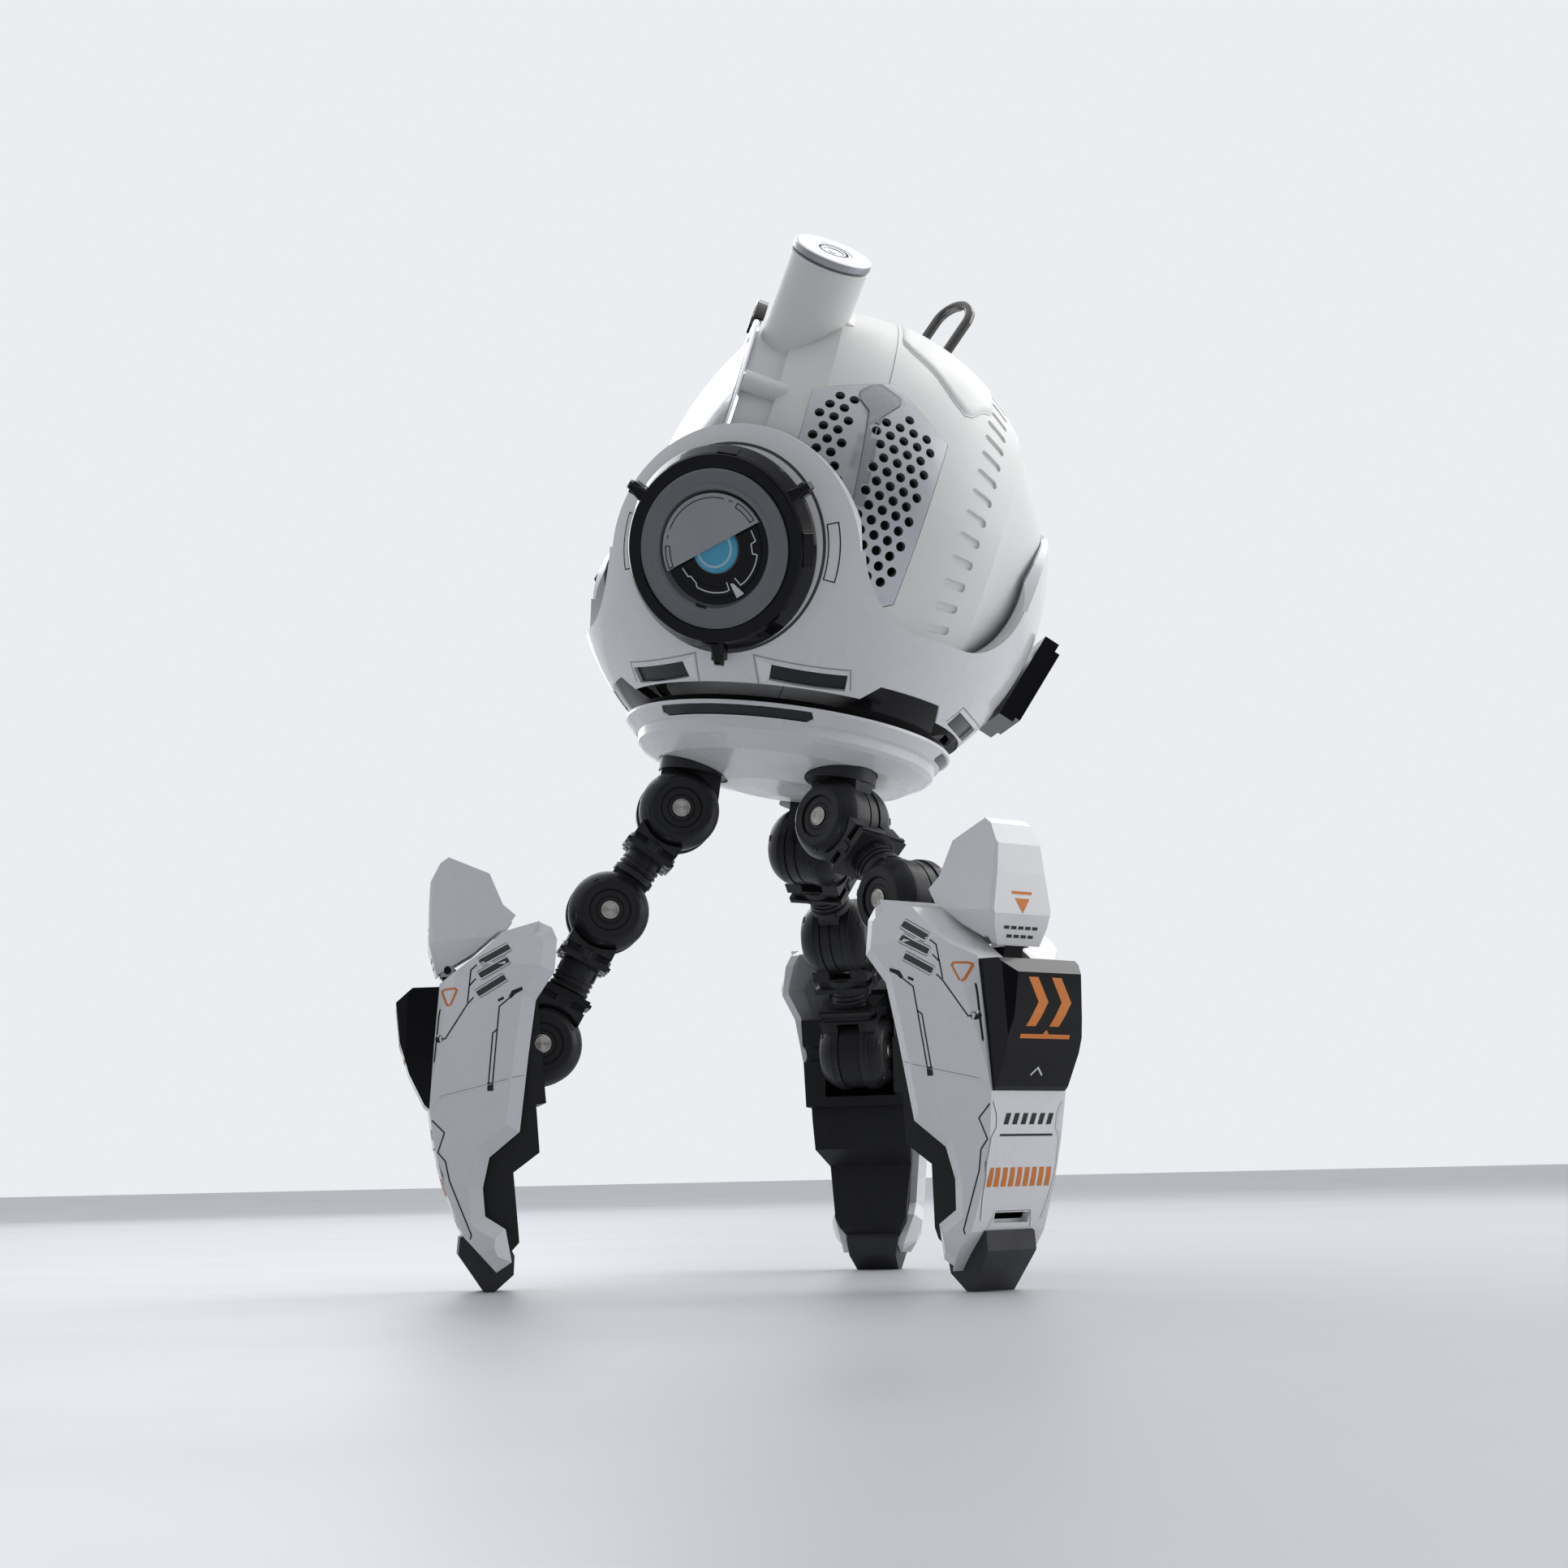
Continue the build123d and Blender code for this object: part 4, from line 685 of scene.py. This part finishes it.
# ------------------------------------------------------------------ round side modules
for az, tag, sg, lid in ((60.0, "left", 1, "lid_left"), (300.0, "right", -1, "lid_right")):
    E = eye(az)
    F = E @ Matrix.Diagonal((sg, 1, 1, 1))     # marks mirror on the other side
    def P2(pts):
        return [(sg * x, y) for x, y in pts]
    ink, silver, black, blue, bl, sh, pk = Soup(), Soup(), Soup(), Soup(), Soup(), Soup(), Soup()
    # lobe: shadow groove round the bezel and two outlined arcs
    stick(sh, stroke(arc(26.15, 0, 360, 4)[:-1], 0.7, True), E, ["cradle_shell"], 0.05, 3.0)
    for a0, a1_ in ((-16, 13), (163.5, 192)):
        o = arc(27.1, a0, a1_, 3) + arc(29.7, a1_, a0, 3)
        stick(ink, stroke(P2(o), 0.30, True), E, ["cradle_shell"], 0.05, 3.0)
    # black face and its stepped line
    black.add(*lathe([(6.35, 68.75), (9.6, 68.72), (9.7, 68.95), (12.2, 68.95), (12.35, 68.7), (14.0, 68.7)], E, 72))
    st = [(9.5, 4.7), (10.7, 2.1), (9.5, 1.3), (9.9, -1.1), (11.1, -1.3)] + [(11.25 * cos(radians(t)), 11.25 * sin(radians(t))) for t in range(-10, -52, -6)] + [(6.7, -8.9), (5.1, -7.2)]
    st2 = [(-9.1, -5.0), (-7.6, -7.1), (-6.9, -7.0), (-5.4, -8.6), (-5.2, -9.6)] + [(11.0 * cos(radians(t)), 11.0 * sin(radians(t))) for t in range(-116, -68, 6)] + [(3.6, -10.2), (2.9, -8.3)]
    def flat(poly, z, m=E):
        v = [m @ Vector((x, y, z)) for x, y in poly]
        return v, [tuple(range(len(v)))]
    for line in (st, st2):
        for q in stroke(P2(line), 0.30):
            silver.add(*flat(q, 69.06))
    for q in ([(3.9, -8.7), (4.7, -8.5), (7.7, -11.0), (5.7, -12.2)],):
        v, f = flat(P2(q), 69.10)
        silver.add(v, f)
    black.add(*flat(P2([(-4.6, -13.5), (-2.0, -14.3), (-1.9, -15.3), (-5.1, -14.5)]), 70.68))
    # blue core with a lighter arc
    blue.add(*lathe([(0.0, 70.05), (4.9, 69.98), (5.8, 69.75), (6.1, 69.4), (6.15, 68.8)], E, 56))
    for q in stroke(P2(arc(4.5, 196, 410, 8)), 0.75):
        v, f = flat(q, 70.09)
        bl.add(v, f)
    # ring: turned lips
    g = Soup()
    g.add(*lathe([(19.9, 70.0), (19.95, 70.55), (19.6, 70.85), (19.2, 70.72), (16.6, 70.66), (15.9, 70.85), (15.35, 70.80), (14.75, 70.45), (14.72, 69.2), (15.5, 69.0), (19.0, 69.0)], E, 96, closed=True))
    g.make("eye_%s_ring_lips" % tag, "head", "ring_grey", "grey_satin", smooth=False)
    # bezel: rounded front, pegs and blocks
    b = Soup()
    b.add(*lathe([(20.25, 69.6), (20.3, 70.35), (20.6, 70.5), (23.0, 70.5), (23.35, 70.38), (23.9, 69.6), (25.5, 66.7), (25.85, 66.0), (25.2, 65.6), (21.5, 66.5)], E, 120, closed=True))
    for ang in (33, 147, 270):
        q = E @ Matrix.Rotation(radians(ang if sg > 0 else 180 - ang), 4, "Z") @ frm(Vector((0, 0, 0)), Vector((1, 0, 0)), Vector((0, 1, 0)), Vector((0, 0, 1)))
        x0, x1 = 23.0, 29.6
        v = [(x0, -2.2, 66.0), (x1, -1.0, 66.4), (x1, 1.0, 66.4), (x0, 2.2, 66.0), (x0, -2.0, 69.3), (x1 - 0.5, -0.85, 68.2), (x1 - 0.5, 0.85, 68.2), (x0, 2.0, 69.3), (x0 + 0.6, -1.5, 69.7), (x1 - 1.2, -0.5, 68.7), (x1 - 1.2, 0.5, 68.7), (x0 + 0.6, 1.5, 69.7)]
        f = [(3, 2, 1, 0)]
        for k in range(4):
            k2 = (k + 1) % 4
            f += [(k, k2, 4 + k2, 4 + k), (4 + k, 4 + k2, 8 + k2, 8 + k)]
        f.append((8, 9, 10, 11))
        b.add([q @ Vector(c) for c in v], f)
    for ang, hw_ in ((0, 4.2), (82, 2.6)):
        q = E @ Matrix.Rotation(radians(ang if sg > 0 else 180 - ang), 4, "Z")
        b.add(*block(q @ Matrix.Translation((24.3, 0, 68.4)) @ Matrix.Rotation(radians(61), 4, "Y"), -1.6, 1.6, -hw_, hw_, -0.6, 0.45, 0.0, 0.12))
    b.make("eye_%s_bezel_trim" % tag, "head", "black_gloss", "black_gloss", smooth=False)
    ink.make("eye_%s_lobe_arcs" % tag, "head", "ink", "black_gloss")
    sh.make("eye_%s_lobe_groove" % tag, "head", "deep_line", "black_gloss")
    silver.make("eye_%s_stepped_line" % tag, "head", "silver_ink", "grey_satin")
    black.make("eye_%s_face" % tag, "head", "black_gloss", "black_gloss")
    blue.make("eye_%s_core" % tag, "head", "blue", "grey_satin", smooth=True)
    bl.make("eye_%s_core_arc" % tag, "head", "blue_light", "grey_satin")
    # lid: marks
    lk = Soup()
    for l in (arc(12.75, 158, 77, 4), arc(12.75, 71, 66, 3), arc(12.75, 170, 165, 3)):
        for q in stroke(P2(l), 0.24):
            lk.add(*flat(q, 70.66))
    for a0, a1_ in ((34, 60), (178, 203)):
        for q in stroke(P2(arc(11.9, a0, a1_, 4) + arc(13.1, a1_, a0, 4)), 0.26, True):
            lk.add(*flat(q, 70.66))
    lk.make("eyelid_%s_marks" % tag, lid, "ink", "black_gloss")

# ------------------------------------------------------------------ pod
def sph_pt(n, phi, r):
    """Point on the pod's ball at station n, turned phi (deg) from the top toward +X."""
    q = sqrt(max(0.0, r * r - n * n))
    return POD @ Vector((q * sin(radians(phi)), q * cos(radians(phi)), n))


HB = [(-1.6, 34.5), (-2.6, 43.4), (-5.5, 46.4), (-12, 50.7), (-19, 57.1), (-22.8, 59.2), (-25.2, 57.6), (-28.2, 51.6), (-30.6, 48.8), (-31.4, 46.0)]
def hatch():
    s = Soup()
    verts, faces = [], []
    cols = 41
    rows = []
    for k in range(len(HB) - 1):
        (n0, p0), (n1, p1) = HB[k], HB[k + 1]
        st_ = max(1, int(abs(n1 - n0) / 1.2))
        rows += [(n0 + (n1 - n0) * t / st_, p0 + (p1 - p0) * t / st_) for t in range(st_)]
    rows.append(HB[-1])
    R1 = R_POD + 0.45
    for j, (n, ph) in enumerate(rows):
        edge = j in (0, len(rows) - 1)
        for c in range(cols + 2):
            f = max(0, min(cols - 1, c - 1)) / (cols - 1)
            t = -ph + 2 * ph * f
            if 0 < c < cols + 1 and not edge:
                tt = t * (1 - 0.9 / max(ph, 1))
                verts.append(sph_pt(n, tt, R1))
            else:
                verts.append(sph_pt(n, t, R_POD - 0.2))
    w = cols + 2
    for j in range(len(rows) - 1):
        for c in range(w - 1):
            faces.append((j * w + c, j * w + c + 1, (j + 1) * w + c + 1, (j + 1) * w + c))
    s.add(verts, faces)
    o = s.make("rear_hatch_panel", "head", "white_satin", "white_satin", smooth=True)
    # outline groove
    g = Soup()
    for sg in (1, -1):
        pts = [(n, sg * (ph + 0.35)) for n, ph in rows[1:-1]]
        for k in range(len(pts) - 1):
            (n0, p0), (n1, p1) = pts[k], pts[k + 1]
            a, b_ = sph_pt(n0, p0, R_POD + 0.06), sph_pt(n1, p1, R_POD + 0.06)
            c_, d_ = sph_pt(n1, p1 + sg * 0.35, R_POD + 0.06), sph_pt(n0, p0 + sg * 0.35, R_POD + 0.06)
            g.add([a, b_, c_, d_], [(0, 1, 2, 3)])
    g.make("rear_hatch_seam", "head", "shade_line", "white_satin")


hatch()
# painted shade outline round the cradle's vents, and a painted highlight on each vent's lit bevel
fr, lo_ = Soup(), Soup()
for az in (60.0, 180.0, 300.0):
    for sg in (-1, 1):
        m = HEAD @ Matrix.Rotation(radians(az + sg * 25.5), 4, "Z") @ Matrix.Translation((0, -47.5, -50.4)) @ Matrix.Rotation(radians(41), 4, "X") @ Matrix.Rotation(radians(90), 4, "X")
        q = [(-sg * x, y) for x, y in [(-11.4, -3.7), (12.2, -3.7), (14.6, 3.8), (-10.2, 3.8)]]
        stick(fr, stroke(q, 0.34, True), m, ["cradle_shell"], 0.05, 2.0)
        q = [(-sg * x, y) for x, y in [(10.0, -2.4), (11.6, -3.3), (13.8, 3.3), (10.0, 2.4)]]
        stick(lo_, [q if sg < 0 else q[::-1]], m, ["cradle_shell"], 0.05, 2.0)
fr.make("vent_frames", "head", "shade_line", "white_gloss")
lo_.make("vent_bevel_highlights", "head", "white_line", "white_gloss")
# seam between the shells
s = Soup()
s.add(*lathe([(sqrt(R_POD ** 2 - 1.15 ** 2) + 0.03, -1.15), (sqrt(R_POD ** 2 - 0.85 ** 2) + 0.03, -0.85)], POD, 160))
s.make("pod_seam_line", "head", "shade_line", "white_satin")
# front cone: pale step rings
s = Soup()
s.add(*lathe([(50.6, 34.2), (51.0, 34.9), (50.6, 35.5), (49.6, 35.5), (49.2, 35.0)], POD, 160, closed=True))
s.make("face_rim_bead", "head", "rim_chrome", "rim_chrome")
# tube: lip and notch lug
TUBE = POD @ Matrix.Translation((0, 0, 22.8)) @ Matrix.Rotation(radians(-38), 4, "Z") @ Matrix.Rotation(radians(-90), 4, "X")
s = Soup()
s.add(*lathe([(10.42, 73.5), (10.52, 73.7), (10.52, 74.3), (10.3, 74.45)], TUBE, 64))
s.add(*block(TUBE @ Matrix.Translation((0, 0, 58.0)), -5.6, 5.6, 8.2, 13.4, -3.4, 3.3, 0.9, 0.9))
s.make("tube_trim", "head", "white_satin", "white_satin")
# cap face: turned rings and a plain ring mark
s, d = Soup(), Soup()
s.add(*lathe([(5.0, 77.02), (5.15, 77.12), (10.1, 77.1), (10.5, 76.85), (10.64, 76.5), (10.64, 75.35), (10.5, 75.25)], TUBE, 96))
s.add(*lathe([(2.7, 76.7), (2.8, 76.95), (3.5, 77.0), (3.6, 76.7)], TUBE, 48))
s.add(*lathe([(0, 76.9), (1.3, 76.9), (1.45, 76.7)], TUBE, 36))
d.add(*lathe([(1.4, 76.66), (4.9, 76.66), (5.0, 77.0)], TUBE, 48))
s.make("button_turned_face", "button", "cap_aluminium", "cap_aluminium")
d.make("button_ring_well", "button", "black_gloss", "black_gloss")
# arch over the rim, behind the tube
s = Soup()
for r0, r1, z0, z1 in ((5.4, 6.6, 32.9, 36.0),):
    vs, fsx = [], []
    for k in range(25):
        t = radians(-8 + 196 * k / 24)
        for rr, zz in ((r0, z0), (r1, z0), (r1, z1 - 0.3), (r1 - 0.3, z1), (r0, z1)):
            vs.append(POD @ Vector((rr * cos(t), 53.6 + rr * sin(t), zz)))
    for k in range(24):
        for j in range(5):
            j2 = (j + 1) % 5
            fsx.append((k * 5 + j, (k + 1) * 5 + j, (k + 1) * 5 + j2, k * 5 + j2))
    s.add(vs, fsx)
s.make("rim_arch", "head", "black_chrome", "black_chrome")
# grille strip, raised on the plate
s, d = Soup(), Soup()
for sg in (1, -1):
    G = frm(POD.translation, POD.to_3x3() @ Vector((0, 0, -sg)), POD.to_3x3() @ Vector((0, 1, 0)), POD.to_3x3() @ Vector((sg, 0, 0)))
    strip = [(-sg * n, v) for n, v in ((-4.6, 24.6), (0.6, 26.6), (2.6, 26.2), (5.4, 22.6), (5.2, 20.4), (2.0, 17.8), (-1.6, -13.2), (-3.8, -13.2), (-1.0, 17.0), (-4.9, 22.6))]
    stick(s, [strip], G, ["side_grilles"], 0.30, 1.5)
    stick(s, stroke(strip, 0.3, True), G, ["side_grilles"], 0.36, 1.5)
    stick(d, stroke([Vector(q) for q in strip], 0.85, True), G, ["side_grilles"], 0.05, 1.5)
s.make("grille_centre_strips", "head", "silver_grille", "silver_grille")
d.make("grille_strip_shadow", "head", "shade_line", "silver_grille")
